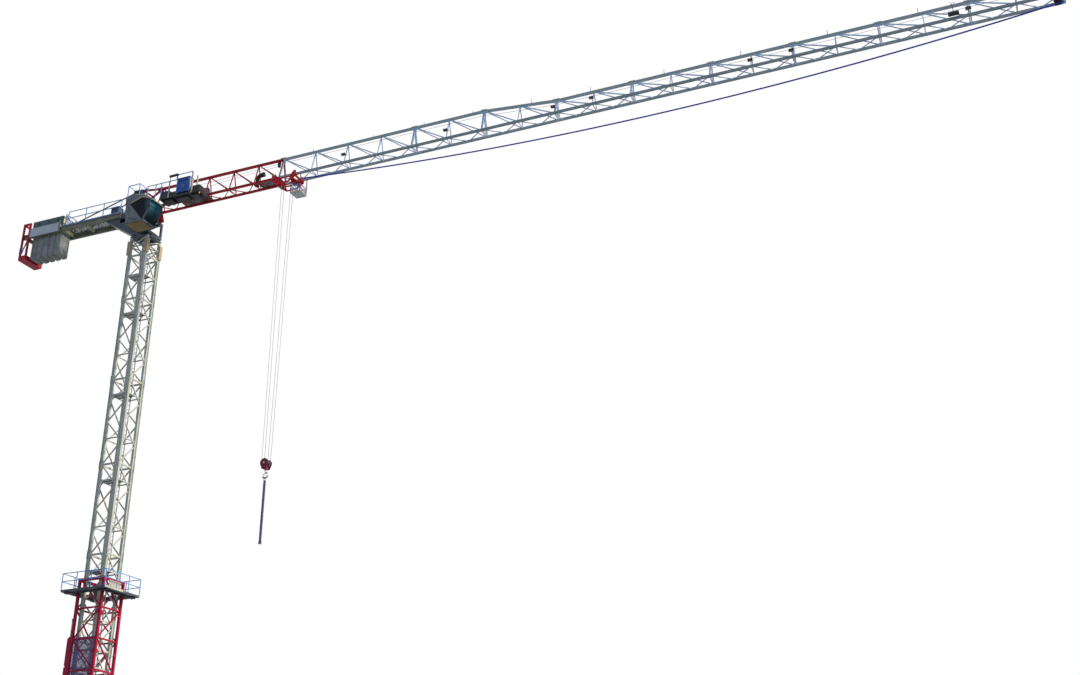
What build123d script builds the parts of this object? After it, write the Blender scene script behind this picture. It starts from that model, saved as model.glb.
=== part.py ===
from build123d import *
import os
from math import radians, sin, sqrt

# A flat-top tower crane with its climbing cage, as a scale model at half size. All lengths are in
# millimetres of the model, so the real crane measures twice as much. X runs out along the jib,
# Y points away from the cab, Z is up, and the origin is under the middle of the cross base.

# Cross base
foot_reach = 1500
beam_width = 200
beam_height = 300
foot_plate = 420
foot_thickness = 40
foot_bolt_pitch = 300
foot_bolt_radius = 16
gusset_reach = 420
gusset_thickness = 24

# Mast
mast_foot_height = 600
mast_width = 750
leg_size = 90
section_height = 2960
section_count = 7
head_section_height = 1700
bays_per_section = 4
lacing_size = 36
joint_tie_size = 60
sleeve_length = 260
sleeve_wall = 18
sleeve_grip = 45
mid_tie_height = 888
platform_drop = 500
head_platform_drop = 750
platform_thickness = 16
platform_side_gap = 2
platform_bearer = 26
ladder_offset = 110
ladder_width = 230
ladder_rail = 24
ladder_rung_pitch = 740
ladder_rung = 14

# Mast head and slewing ring
head_height = 740
boot_length = 520
boot_wall = 45
head_plate_thickness = 50
ring_outer_radius = 365
ring_inner_radius = 300
ring_height = 60
way_half_width = 230
bearing_gap = 0.3

# Climbing cage
cage_width = 985
cage_leg = 75
cage_top = 11680
cage_height = 4700
cage_bays = 5
cage_lacing = 36
cage_tie = 50
cage_platform_width = 1680
cage_platform_drop = 400
cage_platform_thickness = 60
cage_rail_height = 520
cage_rail_tube = 20
cage_rail_posts = 3
shoe_length = 90
shoe_width = 30
shoe_inset = 20
shoe_gap = 0.3
climbing_box_width = 150
climbing_box_depth = 120
climbing_box_height = 2000

# Slewing frame and the bracket that carries the counter-jib
frame_leg_line = 330
frame_post = 70
frame_brace = 45
frame_plate = 24
frame_base_thickness = 40
slewing_frame_height = 659.7
root_leg_height = 400
cab_bracket = 60
cab_bracket_places = (-60, 180)
bracket_reach = 1645
bracket_top_gap = 60
bracket_rear_depth = 115
cutout_length = 420
cutout_height = 180
cutout_radius = 55
cutout_reach = 430
cutout_drop = 230

# Jib
jib_half_width = 220
bottom_chord = 70
top_chord = 76
web_bar = 30
bottom_bar = 24
root_start = -360
lattice_start = 450
root_end = 5460
root_panels = 5
root_depth = 845
root_top_start = 370
root_head = -400
root_head_height = 970
root_node = 80
root_node_height = 600
root_bar = 60
head_pin_half = 60
gusset_plate = 40
front_gusset_top = (60, 400)
front_gusset_foot = (230, 500)
rear_gusset_top = (-360, -160)
rear_gusset_foot = (-365, -270)
outer_panel = 1250
long_section_panels = 4
short_section_panels = 2
short_section_count = 8
outer_depth = 585
end_frame_inset = 22
lug_length = 110
lug_wall = 14
walkway_half_width = 180
walkway_thickness = 14
walkway_spans = ((1400, 2560), (4560, 5290))

# Counter-jib
counter_start = -960
counter_end = -5300
counter_half_width = 325
girder_depth = 175
girder_flange = 75
girder_web = 14
counter_cross_pitch = 920
deck_thickness = 16
deck_end = -3560
rail_height = 550
rail_tube = 22
rail_spacing = 775
tie_bar = 34
tie_foot = -3100
tie_gap = 0.3
guide_place = -3500
guide_half_width = 250
guide_height = 560
guide_bar = 40
guide_stay_reach = 330

# Counterweights and winch housing
slab_count = 5
slab_start = -4950
slab_thickness = 258
slab_gap = 8
slab_chamfer = 24
slab_foot_chamfer = 55
slab_shoulder_half = 355
slab_body_half = 235
slab_bottom = -1010
slab_shoulder_height = 120
housing_start = -4980
housing_end = -3620
housing_height = 400
housing_half_width = 280
panel_start = -4940
panel_end = -3640
panel_half_height = 175
panel_thickness = 16
panel_offset = 400
panel_lug = 30
panel_lug_inset = 150
housing_chamfer = 30
end_frame_length = 330
end_frame_post = 60
end_frame_bottom = -1060
end_frame_tray = 170
end_frame_top = 430

# Cab
cab_rear = -110
cab_front = 970
cab_near = -1150
cab_far = -500
cab_floor = -1090
cab_toe = 700
cab_heel = 110
cab_rear_drop = 70
cab_rear_bow = (60, 22)
cab_crown = (260, 50)
cab_brow_bow = (660, -48)
cab_brow_drop = 265
cab_chin_inset = 5
cab_chin_drop = 540
cab_wall = 30
cab_glass = 10
cab_glass_gap = 0.3
window_rear = (120, -330)
window_crown = (590, -165)
window_front_margin = 35
window_brow_drop = 290
window_chin_drop = 535
window_foot_margin = 70
cab_rail_height = 445
cab_rail_length = 470
cab_rail_width = 390
roof_post_cut = 200

# Cabinet platform beside the jib root
tray_start = 1000
tray_end = 2640
tray_near = -760
tray_far = -300
tray_depth = 130
tray_top_drop = 20
cabinet_start = 1680
cabinet_length = 500
cabinet_depth = 220
cabinet_height = 680
tray_post = 60
tray_post_pitch = 240
tray_rail_start = 440
tray_rail_height = 535
tray_rail_posts = (1030, 1360)
tray_roof_posts = (451, 790)
cabinet_guard_height = 725
cabinet_guard_end = 2300

# Lamps and winch on the jib
lamp_frames = (2, 5, 8, 9, 13, 14, 18)
lamp_rise = 290
lamp_reach = 60
lamp_size = 110
lamp_arm = 20
mast_lamp_start = 4600
mast_lamp_height = 480
trolley_winch_start = 2150
trolley_winch_length = 300
drum_radius = 95
drum_half_width = 60
drum_rise = 330

# Trolley
trolley_radius = 5675
trolley_half_length = 470
trolley_keel_drop = 285
trolley_keel_half = 200
trolley_post = 110
sheave_cheek_half = 62
trolley_plate = 14
wheel_offset = 12
wheel_radius = 60
wheel_width = 20
wheel_gap = 0.3
wheel_inset = 90
plate_clearance = 8
axle_radius = 14
trolley_beam = 56
trolley_beam_gap = 12
rope_diameter = 10
rope_sides = 8
fall_half_gap = 75
fall_half_spread = 185
top_sheave_radius = 80
top_sheave_drop = 200
sheave_width = 24
sheave_gap = 0.3
cheek_gap = 13

# Maintenance basket
basket_length = 380
basket_width = 420
basket_bar = 18
basket_floor = 14
basket_bottom = -700
basket_wall_height = 290
basket_wall = 8

# Hook block and hook
hook_drop = 10150
block_sheave_radius = 110
block_plate = 18
block_cheek_radius = 140
block_foot_half = 75
block_foot_drop = 190
crosshead_length = 120
crosshead_height = 60
pin_radius = 18
collar_radius = 45
collar_height = 20
hook_radius = 88
hook_section = 23
hook_sides = 6
hook_shank = 40
link_radius = 60
link_section = 9
chain_length = 1900
chain_half_gap = 14
chain_radius = 8
end_link_radius = 34

# Ropes that pull the trolley, which sag below the jib
trolley_rope_half_gap = 60
trolley_rope_end_drop = 125
trolley_rope_start_drop = 70
rope_sag = 650
tip_beam = 60
tip_plate_half = 90
tip_plate_drop = 150
rope_end_gap = 0.8

half_mast = mast_width / 2
leg_line = half_mast - leg_size / 2
leg_inner = half_mast - leg_size
mast_top = mast_foot_height + section_count * section_height + head_section_height
head_top = mast_top + head_height
leg_top = head_top - head_plate_thickness
bracket_half_width = counter_half_width - girder_flange / 2
jib_end = root_end + outer_panel * (long_section_panels + short_section_panels * short_section_count)
ring_bottom = head_top
frame_bottom = ring_bottom + ring_height + bearing_gap
frame_top = frame_bottom + slewing_frame_height
jib_height = frame_top + root_leg_height
bracket_top = jib_height - bracket_top_gap
frame_face = frame_leg_line + frame_post / 2


os.makedirs("parts", exist_ok=True)


def bar(start, end, width, depth=None, normal=(0, 0, 1)):
    # A straight bar of rectangular section, its depth measured along the normal.
    run = Vector(*end) - Vector(*start)
    across = run.cross(Vector(*normal))
    with BuildPart() as piece:
        with BuildSketch(Plane(origin=start, x_dir=across.normalized(), z_dir=run.normalized())):
            Rectangle(width, depth or width)
        extrude(amount=run.length)
    return piece.part


def block(low, high):
    # A rectangular block between two opposite corners.
    size = [b - a for a, b in zip(low, high)]
    middle = [(a + b) / 2 for a, b in zip(low, high)]
    with BuildPart() as piece:
        with BuildSketch(Plane.XY.offset(low[2])):
            with Locations((middle[0], middle[1])):
                Rectangle(size[0], size[1])
        extrude(amount=size[2])
    return piece.part


def rod(start, end, radius):
    run = Vector(*end) - Vector(*start)
    with BuildPart() as piece:
        with BuildSketch(Plane(origin=start, z_dir=run.normalized())):
            Circle(radius)
        extrude(amount=run.length)
    return piece.part


def quarter_turns(pieces, turn):
    return [piece.rotate(Axis.Z, 90 * turn) for piece in pieces]


def save(builder, label):
    builder.part.label = label
    export_step(builder.part, f"parts/{label}.step")


# The cross base: two box beams that cross under the mast, with a plate at each of the four feet
def build_base():
    reach = foot_reach + foot_plate / 2
    stub_low = beam_height
    corner = leg_line * sqrt(2)
    with BuildPart() as gusset:
        with BuildSketch(Plane.XZ.offset(-gusset_thickness / 2)):
            with BuildLine():
                Polyline((corner, stub_low), (corner + gusset_reach, stub_low), (corner, mast_foot_height),
                         close=True)
            make_face()
        extrude(amount=gusset_thickness)
    gussets = [gusset.part.rotate(Axis.Z, 45 + 90 * turn) for turn in range(4)]
    with BuildPart() as base:
        for turn in (45, -45):
            with BuildSketch(Plane.XY.rotated((0, 0, turn))):
                Rectangle(2 * reach, beam_width)
        extrude(amount=beam_height)
        with BuildSketch(Plane.XY):
            with PolarLocations(foot_reach, 4, start_angle=45):
                Rectangle(foot_plate, foot_plate)
        extrude(amount=foot_thickness)
        with BuildSketch(Plane.XY.offset(stub_low)):
            with GridLocations(2 * leg_line, 2 * leg_line, 2, 2):
                Rectangle(leg_size + 2 * sleeve_wall, leg_size + 2 * sleeve_wall)
        extrude(amount=mast_foot_height - stub_low)
        add(gussets)
        with BuildSketch(Plane.XY):
            with PolarLocations(foot_reach, 4, start_angle=45):
                with GridLocations(foot_bolt_pitch, foot_bolt_pitch, 2, 2):
                    Circle(foot_bolt_radius)
        extrude(amount=foot_thickness, mode=Mode.SUBTRACT)
    save(base, "cross_base")


# One side of the mast: a leg with its joint sleeves, and the lacing that ties it to the next leg. The last
# stretch, above the bolted boots, is the mast head
def mast_side_pieces():
    y = -leg_line
    pieces = [block((-half_mast, -half_mast, mast_foot_height), (-leg_inner, -leg_inner, leg_top))]
    joints = [mast_foot_height + i * section_height for i in range(section_count + 1)]
    for i, z in enumerate(joints):
        low = max(z - sleeve_length / 2, mast_foot_height)
        high = z + sleeve_length / 2
        corner = half_mast + sleeve_wall
        grip = half_mast - sleeve_grip
        pieces.append(block((-corner, -corner, low), (-grip, -grip, high)))
        tie = max(z, mast_foot_height + joint_tie_size / 2)
        pieces.append(bar((-leg_line, y, tie), (leg_line, y, tie), joint_tie_size, lacing_size, (0, 1, 0)))
    top_tie = mast_top - joint_tie_size / 2
    pieces.append(bar((-leg_line, y, top_tie), (leg_line, y, top_tie), joint_tie_size, lacing_size,
                      (0, 1, 0)))
    bay = section_height / bays_per_section
    for i, z in enumerate(joints):
        rise = head_section_height if i == section_count else section_height
        bays = max(2, round(rise / bay))
        for j in range(bays):
            low = z + rise * j / bays
            high = z + rise * (j + 1) / bays
            ends = (-leg_line, leg_line) if j % 2 == 0 else (leg_line, -leg_line)
            pieces.append(bar((ends[0], y, low), (ends[1], y, high), lacing_size, lacing_size, (0, 1, 0)))
        if i < section_count:
            tie = z + mid_tie_height
            pieces.append(bar((-leg_line, y, tie), (leg_line, y, tie), lacing_size, lacing_size, (0, 1, 0)))
    for z in platform_levels():
        tie = z - platform_thickness - lacing_size / 2
        pieces.append(bar((-leg_line, y, tie), (leg_line, y, tie), lacing_size, lacing_size, (0, 1, 0)))
    mid = (mast_top + leg_top) / 2
    pieces.append(bar((-leg_line, y, mid), (leg_line, y, mid), lacing_size, lacing_size, (0, 1, 0)))
    pieces.append(bar((leg_line, y, mast_top), (-leg_line, y, mid), lacing_size, lacing_size, (0, 1, 0)))
    pieces.append(bar((-leg_line, y, mid), (leg_line, y, leg_top), lacing_size, lacing_size, (0, 1, 0)))
    return pieces


def platform_levels():
    levels = [mast_foot_height + (i + 1) * section_height - platform_drop for i in range(section_count)]
    return levels + [mast_top - head_platform_drop]


def build_mast():
    names = ["mast_side_near", "mast_side_jib", "mast_side_far", "mast_side_rear"]
    pieces = mast_side_pieces()
    with BuildPart() as side:
        add(pieces)
        split(bisect_by=Plane.YZ.offset(leg_inner), keep=Keep.BOTTOM)
        split(bisect_by=Plane.XY.offset(mast_foot_height), keep=Keep.TOP)
        split(bisect_by=Plane.XY.offset(leg_top), keep=Keep.BOTTOM)
    for turn, name in enumerate(names):
        turned = side.part.rotate(Axis.Z, 90 * turn)
        with BuildPart() as placed:
            add(turned)
        save(placed, name)


# The rest platforms, one in each mast section, stop at the ladder that runs the height of the mast
def build_mast_inside():
    inner = leg_line - lacing_size / 2
    edge = ladder_offset - ladder_rail / 2
    with BuildPart() as platforms:
        for z in platform_levels():
            with BuildSketch(Plane.XY.offset(z - platform_thickness)):
                with Locations((0, (edge - leg_inner) / 2)):
                    Rectangle(2 * (inner - platform_side_gap), edge + leg_inner)
            extrude(amount=platform_thickness)
            with BuildSketch(Plane.XY.offset(z - platform_thickness - platform_bearer)):
                with Locations((0, -leg_inner / 2), (0, edge - platform_bearer)):
                    Rectangle(2 * inner, platform_bearer)
            extrude(amount=platform_bearer)
    save(platforms, "rest_platforms")
    rungs = int((mast_top - mast_foot_height) / ladder_rung_pitch)
    rails = []
    for x in (-ladder_width / 2, ladder_width / 2):
        low = (x - ladder_rail / 2, edge, mast_foot_height)
        rails.append(block(low, (x + ladder_rail / 2, edge + ladder_rail, mast_top)))
    for i in range(rungs):
        z = mast_foot_height + (i + 0.5) * ladder_rung_pitch
        ends = [(s * ladder_width / 2, ladder_offset, z) for s in (-1, 1)]
        rails.append(bar(ends[0], ends[1], ladder_rung))
    with BuildPart() as ladder:
        add(rails)
    save(ladder, "mast_ladder")


# The mast head: bolted boots round the legs, and the square frame that carries the slewing ring
def build_mast_head():
    corner = half_mast + boot_wall
    low = mast_top + sleeve_wall
    with BuildPart() as boots:
        for turn in range(4):
            with BuildSketch(Plane.XY.offset(low).rotated((0, 0, 90 * turn))):
                with BuildLine():
                    Polyline(
                        (-corner, -corner), (-leg_inner, -corner), (-leg_inner, -half_mast),
                        (-half_mast, -half_mast),
                        (-half_mast, -leg_inner), (-corner, -leg_inner), close=True,
                    )
                make_face()
        extrude(amount=boot_length)
    save(boots, "mast_boots")
    with BuildPart() as head:
        with BuildSketch(Plane.XY.offset(leg_top)):
            Rectangle(mast_width, mast_width)
            Rectangle(2 * way_half_width, 2 * way_half_width, mode=Mode.SUBTRACT)
        extrude(amount=head_plate_thickness)
    save(head, "mast_head")
    with BuildPart() as ring:
        with BuildSketch(Plane.XY.offset(ring_bottom)):
            Circle(ring_outer_radius)
            Circle(ring_inner_radius, mode=Mode.SUBTRACT)
        extrude(amount=ring_height)
    save(ring, "slewing_ring")


# The climbing cage: four laced sides around the mast, a platform with its railing, and guide shoes on the
# mast legs
def cage_side_pieces():
    half = cage_width / 2
    line = half - cage_leg / 2
    inner = half - cage_leg
    y = -line
    bottom = cage_top - cage_height
    pieces = [block((-half, -half, bottom), (-inner, -inner, cage_top))]
    bay = cage_height / cage_bays
    for i in range(cage_bays):
        low = bottom + i * bay
        high = low + bay
        ends = (line, -line) if i % 2 == 0 else (-line, line)
        pieces.append(bar((ends[0], y, low), (ends[1], y, high), cage_lacing, cage_lacing, (0, 1, 0)))
        tie = max(low, bottom + cage_tie / 2)
        pieces.append(bar((-line, y, tie), (line, y, tie), cage_tie, cage_lacing, (0, 1, 0)))
    tie = cage_top - cage_tie
    pieces.append(bar((-line, y, tie), (line, y, tie), 2 * cage_tie, cage_lacing, (0, 1, 0)))
    track = leg_inner + shoe_inset
    for z in (bottom + shoe_length / 2, cage_top - shoe_length / 2):
        for s in (-1, 1):
            pieces.append(block((s * track - shoe_width / 2, y, z - shoe_length / 2),
                                (s * track + shoe_width / 2, -half_mast - shoe_gap, z + shoe_length / 2)))
    return pieces, inner, bottom


def build_cage():
    names = ["cage_side_near", "cage_side_jib", "cage_side_far", "cage_side_rear"]
    pieces, inner, bottom = cage_side_pieces()
    with BuildPart() as side:
        add(pieces)
        split(bisect_by=Plane.YZ.offset(inner), keep=Keep.BOTTOM)
        split(bisect_by=Plane.XY.offset(bottom), keep=Keep.TOP)
        split(bisect_by=Plane.XY.offset(cage_top), keep=Keep.BOTTOM)
    for turn, name in enumerate(names):
        turned = side.part.rotate(Axis.Z, 90 * turn)
        with BuildPart() as placed:
            add(turned)
        save(placed, name)


def build_cage_platform():
    low = cage_top - cage_platform_drop - cage_platform_thickness
    high = low + cage_platform_thickness
    with BuildPart() as deck:
        with BuildSketch(Plane.XY.offset(low)):
            Rectangle(cage_platform_width, cage_platform_width)
            Rectangle(cage_width, cage_width, mode=Mode.SUBTRACT)
        extrude(amount=cage_platform_thickness)
        chamfer(deck.edges().filter_by(Axis.Z).group_by(SortBy.DISTANCE)[-1], cage_platform_thickness / 2)
    save(deck, "cage_platform")
    half = cage_platform_width / 2 - cage_rail_tube
    pieces = []
    spacing = 2 * half / cage_rail_posts
    for turn in range(4):
        side = [bar((-half, -half, high + h), (half, -half, high + h), cage_rail_tube)
                for h in (cage_rail_height - cage_rail_tube / 2, cage_rail_height / 2)]
        for i in range(cage_rail_posts):
            x = -half + i * spacing
            side.append(bar((x, -half, high), (x, -half, high + cage_rail_height), cage_rail_tube, None,
                            (0, 1, 0)))
        pieces += quarter_turns(side, turn)
    with BuildPart() as railing:
        add(pieces)
    save(railing, "cage_railing")


# The ram housing stands on the cage's rear side and pushes against the mast
def build_climbing_box():
    half = cage_width / 2
    low = cage_top - cage_height + cage_tie
    with BuildPart() as box:
        with BuildSketch(Plane.XY.offset(low)):
            with Locations((-half - climbing_box_depth / 2, -half + climbing_box_width / 2)):
                Rectangle(climbing_box_depth, climbing_box_width)
        extrude(amount=climbing_box_height)
        chamfer(box.edges().group_by(Axis.Z)[-1].sort_by(Axis.X)[0], climbing_box_depth / 2)
    save(box, "climbing_ram_housing")


# The slewing frame: a square base on the ring, and four braced posts with a deck that carry the jib root
def build_slewing_frame():
    line = frame_leg_line
    bottom = frame_bottom + frame_base_thickness
    low = bottom + frame_post / 2
    high = frame_top - frame_post / 2
    with BuildPart() as base:
        with BuildSketch(Plane.XY.offset(frame_bottom)):
            Rectangle(2 * frame_face, 2 * frame_face)
            Rectangle(2 * way_half_width, 2 * way_half_width, mode=Mode.SUBTRACT)
        extrude(amount=frame_base_thickness)
    save(base, "slewing_base")
    side = [
        bar((-line, -line, bottom), (-line, -line, frame_top), frame_post, None, (0, 1, 0)),
        bar((-line, -line, low), (line, -line, low), frame_post),
        bar((-line, -line, high), (line, -line, high), frame_post),
        bar((-line, -line, low), (line, -line, high), frame_brace, frame_brace, (0, 1, 0)),
    ]
    pieces = []
    for turn in range(4):
        pieces += quarter_turns(side, turn)
    for x in cab_bracket_places:
        for z in (low, high):
            pieces.append(bar((x, cab_far, z), (x, -line, z), cab_bracket))
    with BuildPart() as frame:
        add(pieces)
        with BuildSketch(Plane.XY.offset(frame_top - frame_plate)):
            Rectangle(2 * line, 2 * line)
            Rectangle(2 * way_half_width, 2 * way_half_width, mode=Mode.SUBTRACT)
        extrude(amount=frame_plate)
    save(frame, "slewing_frame")


# The bracket behind the slewing frame: two tapered plates, a sloping skin below and a cover above
def build_counter_jib_bracket():
    half = bracket_half_width
    low = frame_bottom + frame_base_thickness
    rear_low = bracket_top - bracket_rear_depth
    run = bracket_reach - frame_face
    with BuildPart() as side:
        with BuildSketch(Plane.XZ.offset(-half)):
            with BuildLine():
                Polyline((-frame_face, low), (-frame_face, bracket_top), (-bracket_reach, bracket_top),
                         (-bracket_reach, rear_low), close=True)
            make_face()
            with Locations((-frame_face - cutout_reach, bracket_top - cutout_drop)):
                RectangleRounded(cutout_length, cutout_height, cutout_radius, mode=Mode.SUBTRACT)
        extrude(amount=frame_plate)
    near = side.part
    far = near.mirror(Plane.XZ)
    with BuildPart() as bracket:
        add([near, far])
        with BuildSketch(Plane.XZ.offset(-half)):
            with BuildLine():
                Polyline((-frame_face, low), (-frame_face, low + frame_plate),
                         (-bracket_reach, rear_low + frame_plate),
                         (-bracket_reach, rear_low), close=True)
            make_face()
            with Locations(((-frame_face - bracket_reach) / 2, bracket_top - frame_plate / 2)):
                Rectangle(run, frame_plate)
        extrude(amount=2 * half)
    save(bracket, "counter_jib_bracket")


# Bars of a triangular lattice between the listed frames, each given as its place and its depth
def truss_pieces(frames, start, end):
    w = jib_half_width
    base = jib_height
    pieces = []
    for s in (-1, 1):
        pieces.append(block((start, s * w - bottom_chord / 2, base - bottom_chord / 2),
                            (end, s * w + bottom_chord / 2, base + bottom_chord / 2)))
        for x in (start, end):
            low = x if x == start else x - lug_length
            inner = w - bottom_chord / 2
            ys = sorted((s * (inner - lug_wall), s * inner))
            pieces.append(block((low, ys[0], base - bottom_chord / 2),
                                (low + lug_length, ys[1], base + bottom_chord / 2)))
    for (x0, h0), (x1, h1) in zip(frames, frames[1:]):
        for s in (-1, 1):
            face = Vector(0, s * h0, w)
            pieces.append(bar((x0, 0, base + h0), (x1, s * w, base), web_bar, web_bar, tuple(face)))
        mid = (x0 + x1) / 2
        pieces.append(bar((x0, -w, base), (mid, w, base), bottom_bar))
        pieces.append(bar((mid, w, base), (x1, -w, base), bottom_bar))
    for x, h in frames:
        for s in (-1, 1):
            face = Vector(0, s * h, w)
            pieces.append(bar((x, 0, base + h), (x, s * w, base), web_bar, web_bar, tuple(face)))
        pieces.append(bar((x, -w, base), (x, w, base), bottom_bar))
    return pieces


def top_chord_pieces(frames, start, end):
    # The chord runs past both ends, which are then cut off square
    h_start = frames[0][1]
    h_end = frames[-1][1]
    base = jib_height
    slope = (h_end - h_start) / (end - start)
    over = top_chord
    a = (start - over, 0, base + h_start - slope * over)
    b = (end + over, 0, base + h_end + slope * over)
    pieces = [bar(a, b, top_chord)]
    size = top_chord + 2 * lug_wall
    pieces.append(bar(a, (start + lug_length, 0, base + h_start + slope * lug_length), size))
    pieces.append(bar((end - lug_length, 0, base + h_end - slope * lug_length), b, size))
    return pieces


def depth_at(x):
    taper_start = root_end + outer_panel * (long_section_panels + short_section_panels)
    taper_end = taper_start + outer_panel * short_section_panels
    if x <= taper_start:
        return root_depth
    if x >= taper_end:
        return outer_depth
    return root_depth + (outer_depth - root_depth) * (x - taper_start) / (taper_end - taper_start)


def section_frames(start, end, panels):
    places = [start + (end - start) * i / panels for i in range(panels + 1)]
    places[0] += end_frame_inset
    places[-1] -= end_frame_inset
    return [(x, depth_at(x)) for x in places]


def jib_sections():
    # The start, end and panels of each section outside the jib root
    spans = [(root_end, root_end + outer_panel * long_section_panels, long_section_panels)]
    for i in range(short_section_count):
        start = spans[-1][1]
        spans.append((start, start + outer_panel * short_section_panels, short_section_panels))
    return spans


def tip_pieces(end):
    # A cross beam between the chord ends, with a plate below it for the trolley ropes
    chord = jib_height - bottom_chord / 2
    beam = block((end - tip_beam, -jib_half_width, chord), (end, jib_half_width, chord + bottom_chord))
    plate = block((end - tip_beam, -tip_plate_half, jib_height - tip_plate_drop),
                  (end, tip_plate_half, jib_height))
    return [beam, plate]


def build_jib():
    frames = section_frames(lattice_start, root_end, root_panels)
    pieces = truss_pieces(frames, root_start, root_end)
    pieces += top_chord_pieces([(root_top_start, root_depth), (root_end, root_depth)], root_top_start,
                               root_end)
    pieces += root_head_pieces()
    with BuildPart() as root:
        add(pieces)
        split(bisect_by=Plane.XY.offset(jib_height - bottom_chord / 2), keep=Keep.TOP)
        split(bisect_by=Plane.YZ.offset(root_end), keep=Keep.BOTTOM)
    save(root, "jib_root")
    for i, (start, end, panels) in enumerate(jib_sections()):
        frames = section_frames(start, end, panels)
        level = [(start, depth_at(start)), (end, depth_at(end))]
        pieces = truss_pieces(frames, start, end) + top_chord_pieces(level, start, end)
        if end == jib_end:
            pieces += tip_pieces(end)
        with BuildPart() as section:
            add(pieces)
            split(bisect_by=Plane.YZ.offset(start), keep=Keep.TOP)
            split(bisect_by=Plane.YZ.offset(end), keep=Keep.BOTTOM)
        save(section, f"jib_section_{i + 1}")


def root_head_pieces():
    # The low head over the slewing frame: a triangle of bars on legs that spread to the chords
    head = (root_head, 0, jib_height + root_head_height)
    knee = (root_top_start + top_chord, 0, jib_height + root_depth)
    node = (root_node, 0, jib_height + root_node_height)
    pieces = [
        bar(head, knee, root_bar),
        bar(head, node, root_bar),
        bar(node, knee, root_bar),
        bar((root_head, -head_pin_half, head[2]), (root_head, head_pin_half, head[2]), root_bar),
    ]
    for s in (-1, 1):
        for x in (root_start + root_bar, frame_leg_line):
            pieces.append(bar(node, (x, s * jib_half_width, jib_height), root_bar))
        pieces.append(bar(head, (root_start + root_bar, s * jib_half_width, jib_height), root_bar))
    for x in (root_start + root_bar, frame_leg_line):
        pieces.append(bar((x, -jib_half_width, jib_height), (x, jib_half_width, jib_height), root_bar))
    return pieces


# Four gusset plates stand on the slewing frame and carry the chords of the jib root
def build_root_gussets():
    low = frame_top
    high = jib_height - bottom_chord / 2
    with BuildPart() as gussets:
        for s in (-1, 1):
            with BuildSketch(Plane.XZ.offset(s * jib_half_width - gusset_plate / 2)):
                for top, foot in ((front_gusset_top, front_gusset_foot),
                                  (rear_gusset_top, rear_gusset_foot)):
                    with BuildLine():
                        Polyline((top[0], high), (top[1], high), (foot[1], low), (foot[0], low), close=True)
                    make_face()
            extrude(amount=gusset_plate)
    save(gussets, "root_gussets")


def build_walkways():
    low = jib_height + bottom_bar / 2
    with BuildPart() as walkways:
        for start, end in walkway_spans:
            with BuildSketch(Plane.XY.offset(low)):
                with Locations(((start + end) / 2, 0)):
                    Rectangle(end - start, 2 * walkway_half_width)
            extrude(amount=walkway_thickness)
    save(walkways, "jib_walkways")


# The counter-jib: two I girders with cross beams, a deck, railings and the tie bars to the mast head
def girder_profile(s):
    top = jib_height
    with BuildPart() as girder:
        with BuildSketch(Plane.YZ.offset(counter_end)):
            with Locations((s * counter_half_width, top - girder_depth / 2)):
                Rectangle(girder_web, girder_depth)
            with Locations((s * counter_half_width, top - girder_web / 2),
                           (s * counter_half_width, top - girder_depth + girder_web / 2)):
                Rectangle(girder_flange, girder_web)
        extrude(amount=counter_start - counter_end)
    return girder.part


def build_counter_jib():
    y = counter_half_width
    z = jib_height - girder_depth / 2
    cross = []
    clear = slab_start + slab_count * (slab_thickness + slab_gap)
    x = -bracket_reach - girder_flange / 2
    while x > clear + girder_flange:
        cross.append(bar((x, -y, z), (x, y, z), girder_flange / 2, girder_depth - 4 * girder_web, (0, 0, 1)))
        x -= counter_cross_pitch
    cross.append(bar((counter_end + girder_flange, -y, z), (counter_end + girder_flange, y, z),
                     girder_flange,
                     girder_depth - 4 * girder_web, (0, 0, 1)))
    with BuildPart() as counter:
        add([girder_profile(-1), girder_profile(1)] + cross)
    save(counter, "counter_jib")
    with BuildPart() as deck:
        with BuildSketch(Plane.XY.offset(jib_height)):
            with Locations(((counter_start + deck_end) / 2, 0)):
                Rectangle(counter_start - deck_end, 2 * y + girder_flange)
        extrude(amount=deck_thickness)
    save(deck, "counter_jib_deck")
    level = jib_height + deck_thickness
    pieces = []
    count = int((counter_start - deck_end) / rail_spacing) + 1
    rail_end = counter_start - (count - 1) * rail_spacing - rail_tube
    for s in (-1, 1):
        line = s * (y + girder_flange / 2 - rail_tube / 2)
        for h in (rail_height - rail_tube / 2, rail_height / 2):
            start = (counter_start, line, level + h)
            pieces.append(bar((rail_end - rail_tube / 2, line, level + h), start, rail_tube))
        for i in range(count):
            x = counter_start - rail_tube - i * rail_spacing
            pieces.append(bar((x, line, level), (x, line, level + rail_height), rail_tube, None, (0, 1, 0)))
    with BuildPart() as railing:
        add(pieces)
    save(railing, "counter_jib_railings")


def build_tie_bars():
    ties = []
    level = jib_height + deck_thickness
    side = head_pin_half + tie_gap + tie_bar / 2
    for s in (-1, 1):
        foot = (tie_foot, s * (counter_half_width - girder_flange / 2), level)
        ties.append(bar(foot, (root_head + root_bar / 2, s * side, jib_height + root_head_height), tie_bar))
    with BuildPart() as tie_bars:
        add(ties)
        split(bisect_by=Plane.XY.offset(level), keep=Keep.TOP)
    save(tie_bars, "tie_bars")


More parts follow.
